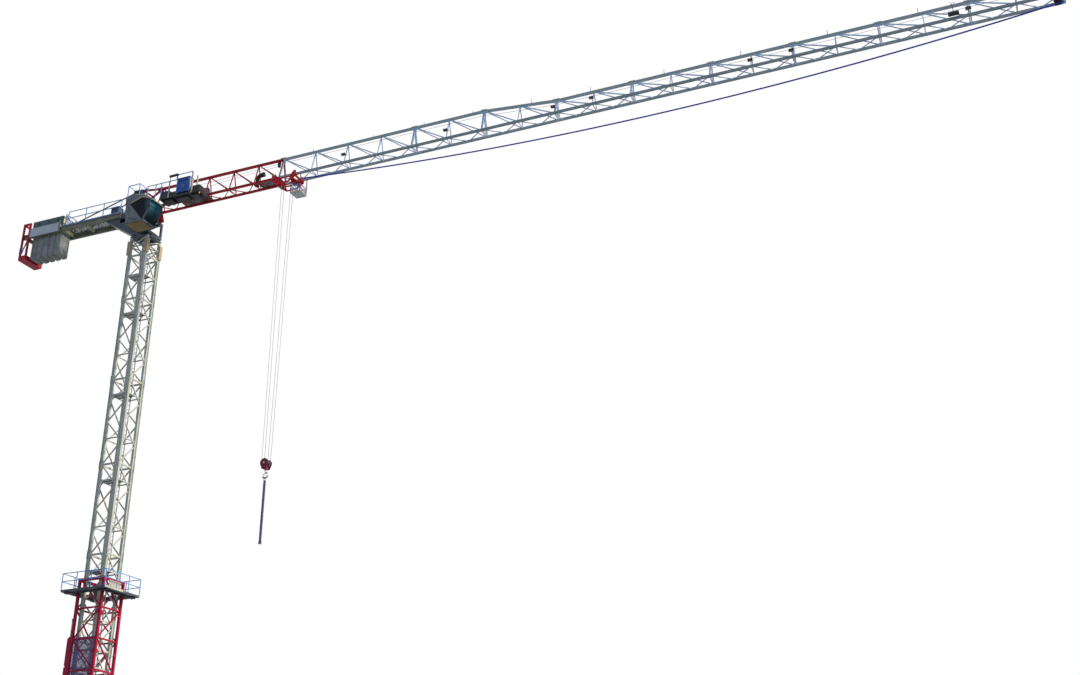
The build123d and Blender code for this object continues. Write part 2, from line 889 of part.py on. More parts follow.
# The frame between the deck and the winch housing guides the hoist rope
def build_winch_guide():
    level = jib_height + deck_thickness
    top = level + guide_height
    x = guide_place
    pieces = [bar((x, -guide_half_width, top - guide_bar / 2), (x, guide_half_width, top - guide_bar / 2),
                  guide_bar),
              bar((x, -guide_half_width, level + guide_height / 2),
                  (x, guide_half_width, level + guide_height / 2), guide_bar)]
    for s in (-1, 1):
        y = s * guide_half_width
        pieces.append(bar((x, y, level), (x, y, top), guide_bar, None, (0, 1, 0)))
        pieces.append(bar((x, y, top - guide_bar), (x + guide_stay_reach, y, level), guide_bar))
    with BuildPart() as guide:
        add(pieces)
        split(bisect_by=Plane.XY.offset(level), keep=Keep.TOP)
    save(guide, "winch_guide_frame")


# Counterweight slabs hang by their shoulders from the girders
def build_counterweights():
    with BuildPart() as slabs:
        for i in range(slab_count):
            x = slab_start + i * (slab_thickness + slab_gap)
            with BuildSketch(Plane.YZ.offset(x)):
                with BuildLine():
                    Polyline(
                        (-slab_shoulder_half, jib_height),
                        (-slab_shoulder_half, jib_height + slab_shoulder_height),
                        (slab_shoulder_half, jib_height + slab_shoulder_height),
                        (slab_shoulder_half, jib_height),
                        (slab_body_half, jib_height), (slab_body_half, jib_height + slab_bottom),
                        (-slab_body_half, jib_height + slab_bottom), (-slab_body_half, jib_height),
                        close=True,
                    )
                make_face()
            extrude(amount=slab_thickness)
        foot = slabs.edges().filter_by(Axis.Y).group_by(Axis.Z)[0]
        chamfer(foot, slab_foot_chamfer)
        upright = slabs.edges().filter_by(Axis.Z).filter_by(lambda edge: abs(edge.center().Y) <= slab_body_half)
        chamfer(upright, slab_chamfer)
    save(slabs, "counterweight_slabs")


def build_winch_housing():
    low = jib_height + slab_shoulder_height
    with BuildPart() as housing:
        with BuildSketch(Plane.XY.offset(low)):
            with Locations(((housing_start + housing_end) / 2, 0)):
                Rectangle(housing_end - housing_start, 2 * housing_half_width)
        extrude(amount=housing_height)
        chamfer(housing.edges().group_by(Axis.Z)[-1].filter_by(Axis.X), housing_chamfer)
    save(housing, "winch_housing")
    with BuildPart() as panel:
        with BuildSketch(Plane.XZ.offset(panel_offset)):
            with Locations(((panel_start + panel_end) / 2, jib_height)):
                Rectangle(panel_end - panel_start, 2 * panel_half_height)
        extrude(amount=panel_thickness)
        with BuildSketch(Plane.XZ.offset(counter_half_width + girder_flange / 2)):
            with Locations((panel_start + panel_lug_inset, jib_height - girder_web / 2),
                           (panel_end - panel_lug_inset, jib_height - girder_web / 2)):
                Rectangle(panel_lug, girder_web)
        extrude(amount=panel_offset - counter_half_width - girder_flange / 2)
    save(panel, "side_panel")


# The end frame: a tray under the last slab on four posts
def build_end_frame():
    x1 = slab_start - slab_gap
    x0 = x1 - end_frame_length
    y = counter_half_width + girder_flange / 2 + end_frame_post / 2
    low = jib_height + end_frame_bottom
    top = jib_height + end_frame_top
    pieces = [block((x0, -y - end_frame_post / 2, low), (x1, y + end_frame_post / 2, low + end_frame_tray))]
    for s in (-1, 1):
        for x in (x0 + end_frame_post / 2, x1 - end_frame_post / 2):
            pieces.append(bar((x, s * y, low), (x, s * y, top), end_frame_post, None, (0, 1, 0)))
        pieces.append(bar((x0, s * y, top - end_frame_post / 2), (x1, s * y, top - end_frame_post / 2),
                          end_frame_post))
        pieces.append(bar((x0 + end_frame_post / 2, s * y, low + end_frame_tray),
                          (x1 - end_frame_post / 2, s * y, jib_height - girder_depth), end_frame_post / 2))
    pieces.append(bar((x0 + end_frame_post / 2, -y, top - end_frame_post / 2),
                      (x0 + end_frame_post / 2, y, top - end_frame_post / 2), end_frame_post))
    with BuildPart() as end_frame:
        add(pieces)
    save(end_frame, "counterweight_end_frame")


# The cab: a shell of constant section with its windows cut out, and the glass behind them
def cab_outline(inset):
    top = jib_height
    rear_top = (cab_rear, top - cab_rear_drop)
    crown = (cab_crown[0], top + cab_crown[1])
    brow = (cab_front, top - cab_brow_drop)
    chin = (cab_front - cab_chin_inset, top - cab_chin_drop)
    toe = (cab_toe, top + cab_floor)
    heel = (cab_rear + cab_heel, top + cab_floor)
    with BuildSketch(Plane.XZ) as outline:
        with BuildLine():
            ThreePointArc(rear_top, (cab_rear_bow[0], top + cab_rear_bow[1]), crown)
            ThreePointArc(crown, (cab_brow_bow[0], top + cab_brow_bow[1]), brow)
            Polyline(brow, chin, toe, heel, rear_top)
        make_face()
        if inset:
            offset(amount=-inset, kind=Kind.INTERSECTION)
    return outline.sketch


def build_cab():
    width = cab_far - cab_near
    opening = front_opening(0)
    window = cab_window()
    with BuildPart() as cab:
        with BuildSketch(Plane.XZ.offset(-cab_far)):
            add(cab_outline(0))
        extrude(amount=width)
        with BuildSketch(Plane.XZ.offset(-cab_far + cab_wall)):
            add(cab_outline(cab_wall))
        extrude(amount=width - 2 * cab_wall, mode=Mode.SUBTRACT)
        with BuildSketch(Plane.XZ.offset(-cab_near - cab_wall)):
            add(window)
        extrude(amount=cab_wall, mode=Mode.SUBTRACT)
        add(opening, mode=Mode.SUBTRACT)
    save(cab, "cab_shell")


def cab_window():
    # The side window runs forward to a slim pillar beside the front glass
    top = jib_height
    rear = (window_rear[0], top + window_rear[1])
    brow = (cab_front - window_front_margin, top - window_brow_drop)
    chin = (cab_front - cab_chin_inset - window_front_margin, top - window_chin_drop)
    toe = (cab_toe - window_front_margin, top + cab_floor + window_foot_margin)
    with BuildSketch(Plane.XZ) as window:
        with BuildLine():
            ThreePointArc(rear, (window_crown[0], top + window_crown[1]), brow)
            Polyline(brow, chin, toe, rear)
        make_face()
    return window.sketch


def cab_body():
    with BuildPart() as body:
        with BuildSketch(Plane.XZ.offset(-cab_far)):
            add(cab_outline(0))
        extrude(amount=cab_far - cab_near)
    return body.part


def front_opening(gap):
    low = jib_height + cab_floor + 2 * cab_wall
    return block((cab_toe - 2 * cab_wall, cab_near + cab_wall + gap, low + gap),
                 (cab_front + cab_wall, cab_far - cab_wall - gap,
                  jib_height - cab_brow_drop - cab_wall / 2 - gap))


def build_cab_glass():
    width = cab_far - cab_near
    opening = front_opening(cab_glass_gap)
    with BuildPart() as front:
        with BuildSketch(Plane.XZ.offset(-cab_far)):
            add(cab_outline(0))
            add(cab_outline(cab_glass), mode=Mode.SUBTRACT)
        extrude(amount=width)
        add(opening, mode=Mode.INTERSECT)
        split(bisect_by=Plane.YZ.offset(cab_toe - cab_wall), keep=Keep.TOP)
    with BuildPart() as glass:
        add(front.part)
        with BuildSketch(Plane.XZ.offset(-cab_near - cab_glass)):
            add(cab_window())
            offset(amount=-cab_glass_gap, mode=Mode.REPLACE)
        extrude(amount=cab_glass)
    save(glass, "cab_glass")


# The rail round the rear of the cab roof, its posts cut off at the roof
def build_cab_rail():
    body = cab_body()
    top = jib_height + cab_rail_height
    low = jib_height - roof_post_cut
    near = cab_near + rail_tube
    rear = cab_rear + 2 * rail_tube
    corners = [(rear, near), (rear + cab_rail_length, near), (rear + cab_rail_length, near + cab_rail_width),
               (rear, near + cab_rail_width)]
    pieces = []
    for (x0, y0), (x1, y1) in zip(corners, corners[1:] + corners[:1]):
        pieces.append(bar((x0, y0, top), (x1, y1, top), rail_tube))
        pieces.append(bar((x0, y0, low), (x0, y0, top + rail_tube / 2), rail_tube, None, (0, 1, 0)))
    with BuildPart() as rail:
        add(pieces)
        add(body, mode=Mode.SUBTRACT)
    save(rail, "cab_roof_rail")


# The tray beside the jib root carries the electric cabinet and has a rail on its outer edge
def build_cabinet_tray():
    top = jib_height - tray_top_drop
    chord_face = -jib_half_width - bottom_chord / 2
    with BuildPart() as tray:
        with BuildSketch(Plane.XY.offset(top - tray_depth)):
            with Locations(((tray_start + tray_end) / 2, (tray_near + tray_far) / 2)):
                Rectangle(tray_end - tray_start, tray_far - tray_near)
        extrude(amount=tray_depth)
        offset(amount=-cab_glass, openings=tray.faces().sort_by(Axis.Z)[-1])
        add(tray_posts(top, chord_face))
    save(tray, "cabinet_tray")
    floor = top - tray_depth + cab_glass
    near = tray_near + cab_glass
    with BuildPart() as cabinet:
        with BuildSketch(Plane.XY.offset(floor)):
            with Locations((cabinet_start + cabinet_length / 2, near + cabinet_depth / 2)):
                Rectangle(cabinet_length, cabinet_depth)
        extrude(amount=cabinet_height)
        fillet(cabinet.edges().filter_by(Axis.Z), cab_glass)
    save(cabinet, "electric_cabinet")
    line = tray_near + cab_glass / 2 - rail_tube / 2
    guard_start = cabinet_start + rail_tube
    high = top + tray_rail_height
    guard = top + cabinet_guard_height
    pieces = [bar((tray_rail_start, line, high), (cabinet_start, line, high), rail_tube),
              bar((guard_start - rail_tube, line, guard), (cabinet_guard_end, line, guard), rail_tube)]
    for x in tray_rail_posts:
        pieces.append(bar((x, line, top), (x, line, high + rail_tube / 2), rail_tube, None, (0, 1, 0)))
    for x in tray_roof_posts:
        low = jib_height - roof_post_cut
        pieces.append(bar((x, line, low), (x, line, high + rail_tube / 2), rail_tube, None, (0, 1, 0)))
    for x in (cabinet_start, cabinet_guard_end - rail_tube / 2):
        pieces.append(bar((x, line, top), (x, line, guard + rail_tube / 2), rail_tube, None, (0, 1, 0)))
    with BuildPart() as rail:
        add(pieces)
        add(cab_body(), mode=Mode.SUBTRACT)
    save(rail, "tray_railing")


def tray_posts(top, chord_face):
    posts = []
    for x in (tray_start, tray_start + tray_post_pitch):
        posts.append(block((x, tray_far - cab_glass, top - tray_depth),
                           (x + tray_post, chord_face, jib_height + bottom_chord / 2)))
    return posts


# Lamps on the near face of the jib, each on an arm from a lattice frame, and one on a short mast
def build_lamps():
    pieces = []
    for k in lamp_frames:
        joint = k >= long_section_panels and k % short_section_panels == 0
        x = root_end + outer_panel * k - (end_frame_inset if joint else 0)
        depth = depth_at(root_end + outer_panel * k)
        rise = lamp_rise * depth / root_depth
        lean = jib_half_width / depth
        face = -(jib_half_width - (rise - lamp_arm / 2) * lean) - web_bar / 2 * sqrt(1 + lean ** 2) - cab_glass_gap
        z = jib_height + rise
        pieces.append(bar((x, face, z), (x, face - lamp_reach, z), lamp_arm))
        low = (x - lamp_size / 2, face - lamp_reach - lamp_size / 2, z - lamp_size / 2)
        pieces.append(block(low, (x + lamp_size / 2, face - lamp_reach, z + lamp_size / 2)))
    deck = jib_height + bottom_bar / 2 + walkway_thickness
    column = lamp_arm * 2
    pieces.append(block((mast_lamp_start, -column, deck),
                        (mast_lamp_start + 2 * column, column, deck + mast_lamp_height - lamp_size)))
    pieces.append(block((mast_lamp_start, -lamp_size / 2, deck + mast_lamp_height - lamp_size),
                        (mast_lamp_start + 2 * lamp_size, lamp_size / 2, deck + mast_lamp_height)))
    with BuildPart() as lamps:
        add(pieces)
    save(lamps, "floodlights")


def build_trolley_winch():
    deck = jib_height + bottom_bar / 2 + walkway_thickness
    middle = trolley_winch_start + trolley_winch_length / 2
    with BuildPart() as winch:
        with BuildSketch(Plane.XY.offset(deck)):
            with Locations((middle, 0)):
                Rectangle(trolley_winch_length, 3 * drum_half_width)
        extrude(amount=drum_rise - drum_radius - bottom_bar)
        with BuildSketch(Plane.XZ.offset(-drum_half_width)):
            with Locations((middle, jib_height + drum_rise)):
                Circle(drum_radius)
        extrude(amount=2 * drum_half_width)
    save(winch, "trolley_winch")


# The trolley: side plates with wheels on the bottom chords, cross beams and the sheave plates
def build_trolley():
    x = trolley_radius
    chord_top = jib_height + bottom_chord / 2
    axle_height = chord_top + wheel_gap + wheel_radius
    beam_top = jib_height - bottom_chord / 2 - trolley_beam_gap
    beam_low = beam_top - trolley_beam
    keel = jib_height - trolley_keel_drop
    rear = x - trolley_half_length
    front = x + trolley_half_length
    plate_inner = jib_half_width + bottom_chord / 2 + plate_clearance
    post_top = axle_height + 2 * axle_radius
    wheel_inner = jib_half_width + wheel_offset
    sheave_x = fall_half_spread + top_sheave_radius
    sheave_z = jib_height - top_sheave_drop
    pieces = []
    for s in (-1, 1):
        with BuildPart() as plate:
            with BuildSketch(Plane.XZ.offset(-s * plate_inner)):
                with BuildLine():
                    Polyline(
                        (rear, beam_low), (rear, post_top), (rear + trolley_post, post_top),
                        (rear + 2 * trolley_post, beam_top), (front - 2 * trolley_post, beam_top),
                        (front - trolley_post, post_top), (front, post_top), (front, beam_low),
                        (x + trolley_keel_half, keel), (x - trolley_keel_half, keel), close=True,
                    )
                make_face()
                with BuildLine():
                    Polyline(
                        (rear + 2 * trolley_post, beam_low), (front - 2 * trolley_post, beam_low),
                        (x + trolley_keel_half - trolley_beam / 2, keel + trolley_beam),
                        (x - trolley_keel_half + trolley_beam / 2, keel + trolley_beam), close=True,
                    )
                make_face(mode=Mode.SUBTRACT)
            extrude(amount=-s * trolley_plate)
        pieces.append(plate.part)
        for end in (-1, 1):
            px = x + end * (trolley_half_length - wheel_inset)
            outer = wheel_inner + wheel_width
            pieces.append(rod((px, s * outer, axle_height),
                              (px, s * (plate_inner + trolley_plate / 2), axle_height), axle_radius))
    for end in (-1, 1):
        for bx in (x + end * (trolley_half_length - trolley_beam / 2), x + end * sheave_x):
            pieces.append(bar((bx, -plate_inner - trolley_plate / 2, beam_top - trolley_beam / 2),
                              (bx, plate_inner + trolley_plate / 2, beam_top - trolley_beam / 2),
                              trolley_beam))
    cheek = fall_half_gap + sheave_width / 2 + cheek_gap
    for end in (-1, 1):
        middle = x + end * sheave_x
        for y in (-cheek - trolley_plate / 2, 0, cheek + trolley_plate / 2):
            pieces.append(block((middle - sheave_cheek_half, y - trolley_plate / 2,
                                 sheave_z - 2 * axle_radius),
                                (middle + sheave_cheek_half, y + trolley_plate / 2,
                                 beam_top - trolley_beam / 2)))
        pieces.append(rod((x + end * sheave_x, -cheek, sheave_z), (x + end * sheave_x, cheek, sheave_z),
                          axle_radius))
    with BuildPart() as trolley:
        add(pieces)
    save(trolley, "trolley_frame")
    with BuildPart() as wheels:
        for s in (-1, 1):
            with BuildSketch(Plane.XZ.offset(-s * wheel_inner)):
                with Locations((x - trolley_half_length + wheel_inset, axle_height),
                               (x + trolley_half_length - wheel_inset, axle_height)):
                    Circle(wheel_radius)
            extrude(amount=-s * wheel_width)
    save(wheels, "trolley_wheels")
    sheaves = []
    for end in (-1, 1):
        for s in (-1, 1):
            sheaves.append(sheave(x + end * sheave_x, s * fall_half_gap, sheave_z, top_sheave_radius,
                                  axle_radius))
    with BuildPart() as top_sheaves:
        add(sheaves)
    save(top_sheaves, "trolley_sheaves")


def sheave(x, y, z, radius, pin):
    # The rope's centre runs at the rim's radius, clear of both sides of the groove
    half = sheave_width / 2
    reach = rope_diameter / 2 + sheave_gap
    depth = reach * half / sqrt(half ** 2 - reach ** 2)
    with BuildPart() as wheel:
        with BuildSketch(Plane.XY):
            with BuildLine():
                Polyline((pin + sheave_gap, -half), (radius, -half), (radius - depth, 0),
                         (radius, half), (pin + sheave_gap, half), close=True)
            make_face()
        revolve(axis=Axis.Y)
    return wheel.part.moved(Location((x, y, z)))


# The maintenance basket hangs below the outer end of the trolley: two posts under its beam, two on arms
# beyond it
def basket_ends():
    start = trolley_radius + fall_half_spread + top_sheave_radius - basket_bar / 2
    return start, start + basket_length


def build_basket():
    x0, x1 = basket_ends()
    w = basket_width / 2
    low = jib_height + basket_bottom
    rim = low + basket_wall_height
    beam_top = jib_height - bottom_chord / 2 - trolley_beam_gap
    arm = beam_top - trolley_beam / 2
    link = trolley_radius + trolley_half_length
    with BuildPart() as basket:
        with BuildSketch(Plane.XY.offset(low)):
            with Locations(((x0 + x1) / 2, 0)):
                Rectangle(x1 - x0, 2 * w)
        extrude(amount=basket_wall_height)
        offset(amount=-basket_wall, openings=basket.faces().sort_by(Axis.Z)[-1])
    pieces = [basket.part]
    rear = x0 + basket_bar / 2
    front = x1 - basket_bar / 2
    for s in (-1, 1):
        y = s * (w - basket_bar / 2)
        pieces.append(bar((rear, y, low + basket_floor), (rear, y, beam_top - trolley_beam), basket_bar,
                          None, (0, 1, 0)))
        pieces.append(bar((front, y, low + basket_floor), (front, y, arm), basket_bar, None, (0, 1, 0)))
        pieces.append(bar((link, y, arm), (x1, y, arm), basket_bar))
        pieces.append(bar((rear, y, rim), (front, y, arm - basket_bar), basket_bar))
    for x in (rear, front):
        pieces.append(bar((x, -w, rim), (x, w, rim), basket_bar))
    pieces.append(bar((front, -w, arm), (front, w, arm), basket_bar))
    with BuildPart() as whole:
        add(pieces)
    save(whole, "maintenance_basket")


# The hook block: two cheeks, a sheave pin and the crosshead that the hook turns in
def build_hook_block():
    x = trolley_radius
    z = jib_height - hook_drop
    cheek_inner = fall_half_gap + sheave_width / 2 + cheek_gap
    with BuildPart() as block_frame:
        for s in (-1, 1):
            with BuildSketch(Plane.XZ.offset(-s * cheek_inner)):
                with Locations((x, z)):
                    Circle(block_cheek_radius)
                with BuildLine():
                    Polyline((x - block_cheek_radius, z), (x + block_cheek_radius, z),
                             (x + block_foot_half, z - block_foot_drop),
                             (x - block_foot_half, z - block_foot_drop), close=True)
                make_face()
            extrude(amount=-s * block_plate)
        with BuildSketch(Plane.XZ.offset(-cheek_inner)):
            with Locations((x, z)):
                Circle(pin_radius)
        extrude(amount=2 * cheek_inner)
        with BuildSketch(Plane.XY.offset(z - block_foot_drop)):
            with Locations((x, 0)):
                Rectangle(crosshead_length, 2 * cheek_inner)
        extrude(amount=crosshead_height)
    save(block_frame, "hook_block")
    sheaves = [sheave(x, s * fall_half_gap, z, block_sheave_radius, pin_radius) for s in (-1, 1)]
    with BuildPart() as block_sheaves:
        add(sheaves)
    save(block_sheaves, "hook_block_sheaves")


def build_hook():
    x = trolley_radius
    top = jib_height - hook_drop - block_foot_drop - sheave_gap
    with BuildPart() as hook:
        with BuildSketch(Plane.XY.offset(top - collar_height)):
            with Locations((x, 0)):
                Circle(collar_radius)
        extrude(amount=collar_height)
        with BuildLine(Plane.XZ) as spine:
            shank = Line((x, top - collar_height / 2), (x, top - hook_shank))
            shoulder = JernArc(start=shank @ 1, tangent=shank % 1, radius=hook_radius, arc_size=60)
            JernArc(start=shoulder @ 1, tangent=shoulder % 1, radius=hook_radius, arc_size=-225)
        with BuildSketch(Plane(origin=(x, 0, top - collar_height / 2), z_dir=(0, 0, -1))):
            RegularPolygon(hook_section, hook_sides)
        sweep(path=spine.wires()[0])
    save(hook, "hook")


def hook_centre():
    top = jib_height - hook_drop - block_foot_drop - sheave_gap
    return top - hook_shank - 2 * hook_radius * sin(radians(60))


def flat_link(plane, centre, radius, section):
    with BuildPart() as link:
        with BuildSketch(plane.offset(-section)):
            with Locations(centre):
                Circle(radius + section)
                Circle(radius - section, mode=Mode.SUBTRACT)
        extrude(amount=2 * section)
    return link.part


# The chain sling: a master link round the hook, and two legs with a link at each end
def build_sling():
    x = trolley_radius
    link = hook_centre() - hook_radius + hook_section + link_section + sheave_gap - link_radius
    pieces = [flat_link(Plane.YZ.offset(x), (0, link), link_radius, link_section)]
    top = link - link_radius
    for s in (-1, 1):
        y = s * chain_half_gap
        pieces.append(bar((x, y, top - chain_length), (x, y, top + link_section / 2), 2 * chain_radius,
                          None, (0, 1, 0)))
        end = (x, top - chain_length - end_link_radius)
        pieces.append(flat_link(Plane.XZ.offset(-y), end, end_link_radius, chain_radius))
    with BuildPart() as sling:
        add(pieces)
    save(sling, "chain_sling")


# The four falls of the hoist rope
def build_falls():
    x = trolley_radius
    pieces = []
    for s in (-1, 1):
        for end in (-1, 1):
            top = (x + end * fall_half_spread, s * fall_half_gap, jib_height - top_sheave_drop)
            foot = x + end * block_sheave_radius
            with BuildPart() as fall:
                run = Vector(foot, s * fall_half_gap, jib_height - hook_drop) - Vector(*top)
                with BuildSketch(Plane(origin=top, z_dir=run.normalized())):
                    RegularPolygon(rope_diameter / 2, rope_sides)
                extrude(amount=run.length)
            pieces.append(fall.part)
    with BuildPart() as falls:
        add(pieces)
    save(falls, "hoist_falls")


def build_trolley_ropes():
    start = basket_ends()[1] + rope_end_gap
    end = jib_end - tip_beam - rope_end_gap
    z0 = jib_height - trolley_rope_start_drop
    z1 = jib_height - trolley_rope_end_drop
    with BuildPart() as ropes:
        for s in (-1, 1):
            with BuildLine(Plane.XZ.offset(-s * trolley_rope_half_gap)) as run:
                ThreePointArc((start, z0), ((start + end) / 2, (z0 + z1) / 2 - rope_sag), (end, z1))
            with BuildSketch(Plane(origin=run.edges()[0] @ 0, z_dir=run.edges()[0] % 0)):
                RegularPolygon(rope_diameter / 2, rope_sides)
            sweep(path=run.edges()[0])
    save(ropes, "trolley_ropes")


build_base()
build_mast()
build_mast_inside()
build_mast_head()
build_cage()
build_cage_platform()
build_climbing_box()
build_slewing_frame()
build_counter_jib_bracket()
build_jib()
build_root_gussets()
build_walkways()
build_counter_jib()
build_tie_bars()
build_winch_guide()
build_counterweights()
build_winch_housing()
build_end_frame()
build_cab()
build_cab_glass()
build_cab_rail()
build_cabinet_tray()
build_lamps()
build_trolley_winch()
build_trolley()
build_basket()
build_hook_block()
build_hook()
build_sling()
build_falls()
build_trolley_ropes()
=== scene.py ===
import math

import bmesh
import bpy
from mathutils import Matrix, Vector


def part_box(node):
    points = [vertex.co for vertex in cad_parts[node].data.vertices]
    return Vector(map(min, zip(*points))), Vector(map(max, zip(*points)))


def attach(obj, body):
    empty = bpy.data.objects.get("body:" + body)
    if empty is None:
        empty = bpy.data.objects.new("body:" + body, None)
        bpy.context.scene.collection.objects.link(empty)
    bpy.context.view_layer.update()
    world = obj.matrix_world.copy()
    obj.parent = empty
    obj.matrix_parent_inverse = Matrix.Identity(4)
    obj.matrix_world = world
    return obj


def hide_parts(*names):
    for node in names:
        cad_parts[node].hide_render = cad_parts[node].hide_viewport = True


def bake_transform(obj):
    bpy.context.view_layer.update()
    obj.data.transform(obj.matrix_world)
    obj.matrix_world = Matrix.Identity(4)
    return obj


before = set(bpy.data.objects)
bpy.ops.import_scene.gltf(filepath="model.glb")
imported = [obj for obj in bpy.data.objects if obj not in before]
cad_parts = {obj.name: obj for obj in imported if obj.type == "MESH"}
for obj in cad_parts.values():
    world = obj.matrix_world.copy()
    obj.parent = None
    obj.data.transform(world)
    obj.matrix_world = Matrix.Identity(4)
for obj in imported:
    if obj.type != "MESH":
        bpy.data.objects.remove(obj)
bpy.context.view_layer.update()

print("frame loaded:", len(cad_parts), "nodes")

xWay, yWay, zWay = Vector((1, 0, 0)), Vector((0, 1, 0)), Vector((0, 0, 1))
signs = (-1, 1)
quarters = [(s, t) for s in signs for t in signs]
outline = ((-1, -1), (1, -1), (1, 1), (-1, 1))  # the corners of a square in turn
sharpAngle = math.radians(35)  # edges bent further than this stay crisp on a smooth piece
plane = 24.88  # the level of the jib's lower chords, from which the upper part is measured


# Small tools that every piece below is made with

def linearColour(hexCode):
    channels = [int(hexCode[i:i + 2], 16) / 255 for i in (1, 3, 5)]
    return [c / 12.92 if c <= 0.04045 else ((c + 0.055) / 1.055) ** 2.4 for c in channels] + [1.0]


def setNode(tree, node, settings):
    # A socket goes by name or place and takes a link, a hex colour or a value; the rest are the node's own
    for key, value in settings.items():
        if isinstance(value, bpy.types.NodeSocket):
            tree.links.new(value, node.inputs[key])
        elif isinstance(key, int) or key in node.inputs:
            node.inputs[key].default_value = linearColour(value) if isinstance(value, str) else value
        else:
            setattr(node, key, value)


def addNode(tree, kind, settings, output=0):
    node = tree.nodes.new("ShaderNode" + kind)
    setNode(tree, node, settings)
    return node.outputs if output is None else node.outputs[output]


def laidOver(tree, under, over, where, start=0.0, full=1.0, most=1.0):
    # A second colour comes in where a pattern rises from one value to the other
    share = addNode(tree, "MapRange", {0: where, 1: start, 2: full, 3: 0.0, 4: most})
    return addNode(tree, "Mix", {"data_type": "RGBA", 0: share, 6: under, 7: over}, 2)


def dressShader(tree, settings):
    setNode(tree, tree.nodes["Principled BSDF"], settings)


def newMeshes(count):
    return [bmesh.new() for _ in range(count)]


def corners(pair, lift=plane):
    return [Vector(c) + zWay * lift for c in pair]


def spokes(count, side=xWay, top=yWay):
    angles = [2 * math.pi * k / count for k in range(count)]
    return [side * math.cos(angle) + top * math.sin(angle) for angle in angles]


def pointsBetween(start, end, steps, sag=0.0):
    shares = [i / steps for i in range(steps + 1)]
    return [Vector(start).lerp(Vector(end), share) - zWay * (sag * 4 * share * (1 - share)) for share in shares]


def joinRings(mesh, rings, closed=False):
    # Sides between outlines in a row, with a cap at each end unless the row closes
    rings = [[mesh.verts.new(point) for point in ring] for ring in rings]
    for a, b in zip(rings, rings[1:] + rings[:1] if closed else rings[1:]):
        for k in range(len(a)):
            j = (k + 1) % len(a)
            mesh.faces.new((a[k], a[j], b[j], b[k]))
    for cap in () if closed else (rings[0], rings[-1]):
        mesh.faces.new(cap)


def rectangle(low, high, inset=0.0):
    # The corners of a flat box, which has no depth along X, Y or Z, drawn in by an inset
    flat = [k for k in range(3) if low[k] == high[k]][0]
    points = []
    for signsHere in outline:
        point, ways = list(low), iter(signsHere)
        for k in range(3):
            if k != flat:
                point[k] = low[k] + inset if next(ways) < 0 else high[k] - inset
        points.append(Vector(point))
    return points


def addBar(mesh, start, end, width, depth=None, up=zWay):
    start, end = Vector(start), Vector(end)
    forward = (end - start).normalized()
    side = forward.cross(up)
    if side.length < 0.001:
        side = forward.cross(yWay)
    side.normalize()
    side, top = side * width / 2, side.cross(forward) * (depth or width) / 2
    joinRings(mesh, [[place + side * a + top * b for a, b in outline] for place in (start, end)])


def addBox(mesh, low, high):
    y, z = (low[1] + high[1]) / 2, (low[2] + high[2]) / 2
    addBar(mesh, (low[0], y, z), (high[0], y, z), high[1] - low[1], high[2] - low[2])


def addTube(mesh, points, radius, sides=8, closed=False):
    points = [Vector(p) for p in points]
    count = len(points)
    radii = radius if isinstance(radius, list) else [radius] * count
    rings = []
    side = None
    for i, point in enumerate(points):
        before = points[i - 1] if closed or i > 0 else point
        after = points[(i + 1) % count] if closed or i < count - 1 else point
        forward = (after - before).normalized()
        if side is None:
            side = forward.orthogonal()
        side = (side - forward * side.dot(forward)).normalized()
        rings.append([point + spoke * radii[i] for spoke in spokes(sides, side, forward.cross(side))])
    joinRings(mesh, rings, closed)


def addTurned(mesh, centre, axis, profile, segments):
    # A turned form: the profile lists radius and height along the axis
    axis = axis.normalized()
    side = axis.orthogonal().normalized()
    turn = spokes(segments, side, axis.cross(side))
    joinRings(mesh, [[Vector(centre) + spoke * radius + axis * height for spoke in turn]
                     for radius, height in profile])


def addBolt(mesh, place, direction, size):
    # A washer and a hexagon head with a broken edge
    addTurned(mesh, place, direction, [(size * 1.05, 0), (size * 1.05, size * 0.18)], 12)
    head = [(size * 0.9, 0), (size * 0.9, size * 0.5), (size * 0.72, size * 0.62)]
    addTurned(mesh, Vector(place) + direction * size * 0.18, direction, head, 6)


def addPrism(mesh, points, offset):
    # A flat outline pushed along an offset
    joinRings(mesh, [[Vector(p) + shift for p in points] for shift in (offset * 0, offset)])


def addLoop(mesh, points, width, depth, up):
    # Bars around an outline, each long enough to fill the corners
    points = [Vector(p) for p in points]
    for start, end in zip(points, points[1:] + points[:1]):
        run = (end - start).normalized() * width / 2
        addBar(mesh, start - run, end + run, width, depth, up)


def addRibs(mesh, low, high, along, count, thickness):
    # Slats in a row across a box, such as louvres or cooling ribs
    for i in range(count):
        middle = low[along] + (high[along] - low[along]) * (i + 0.5) / count
        slatLow, slatHigh = list(low), list(high)
        slatLow[along], slatHigh[along] = middle - thickness / 2, middle + thickness / 2
        addBox(mesh, slatLow, slatHigh)


def addHandle(mesh, x, y, low, high, reach, radius, slant=0.0):
    # A bent rod that stands out from an upright face
    addTube(mesh, [(x, y, low), (x, y - reach, low + slant), (x, y - reach, high - slant), (x, y, high)], radius)


def addObject(name, data):
    item = bpy.data.objects.new(name, data)
    bpy.context.scene.collection.objects.link(item)
    return item


def addMeshObject(name, mesh, material):
    data = bpy.data.meshes.new(name)
    mesh.to_mesh(data)
    mesh.free()
    data.materials.append(bpy.data.materials[material])
    return addObject(name, data)


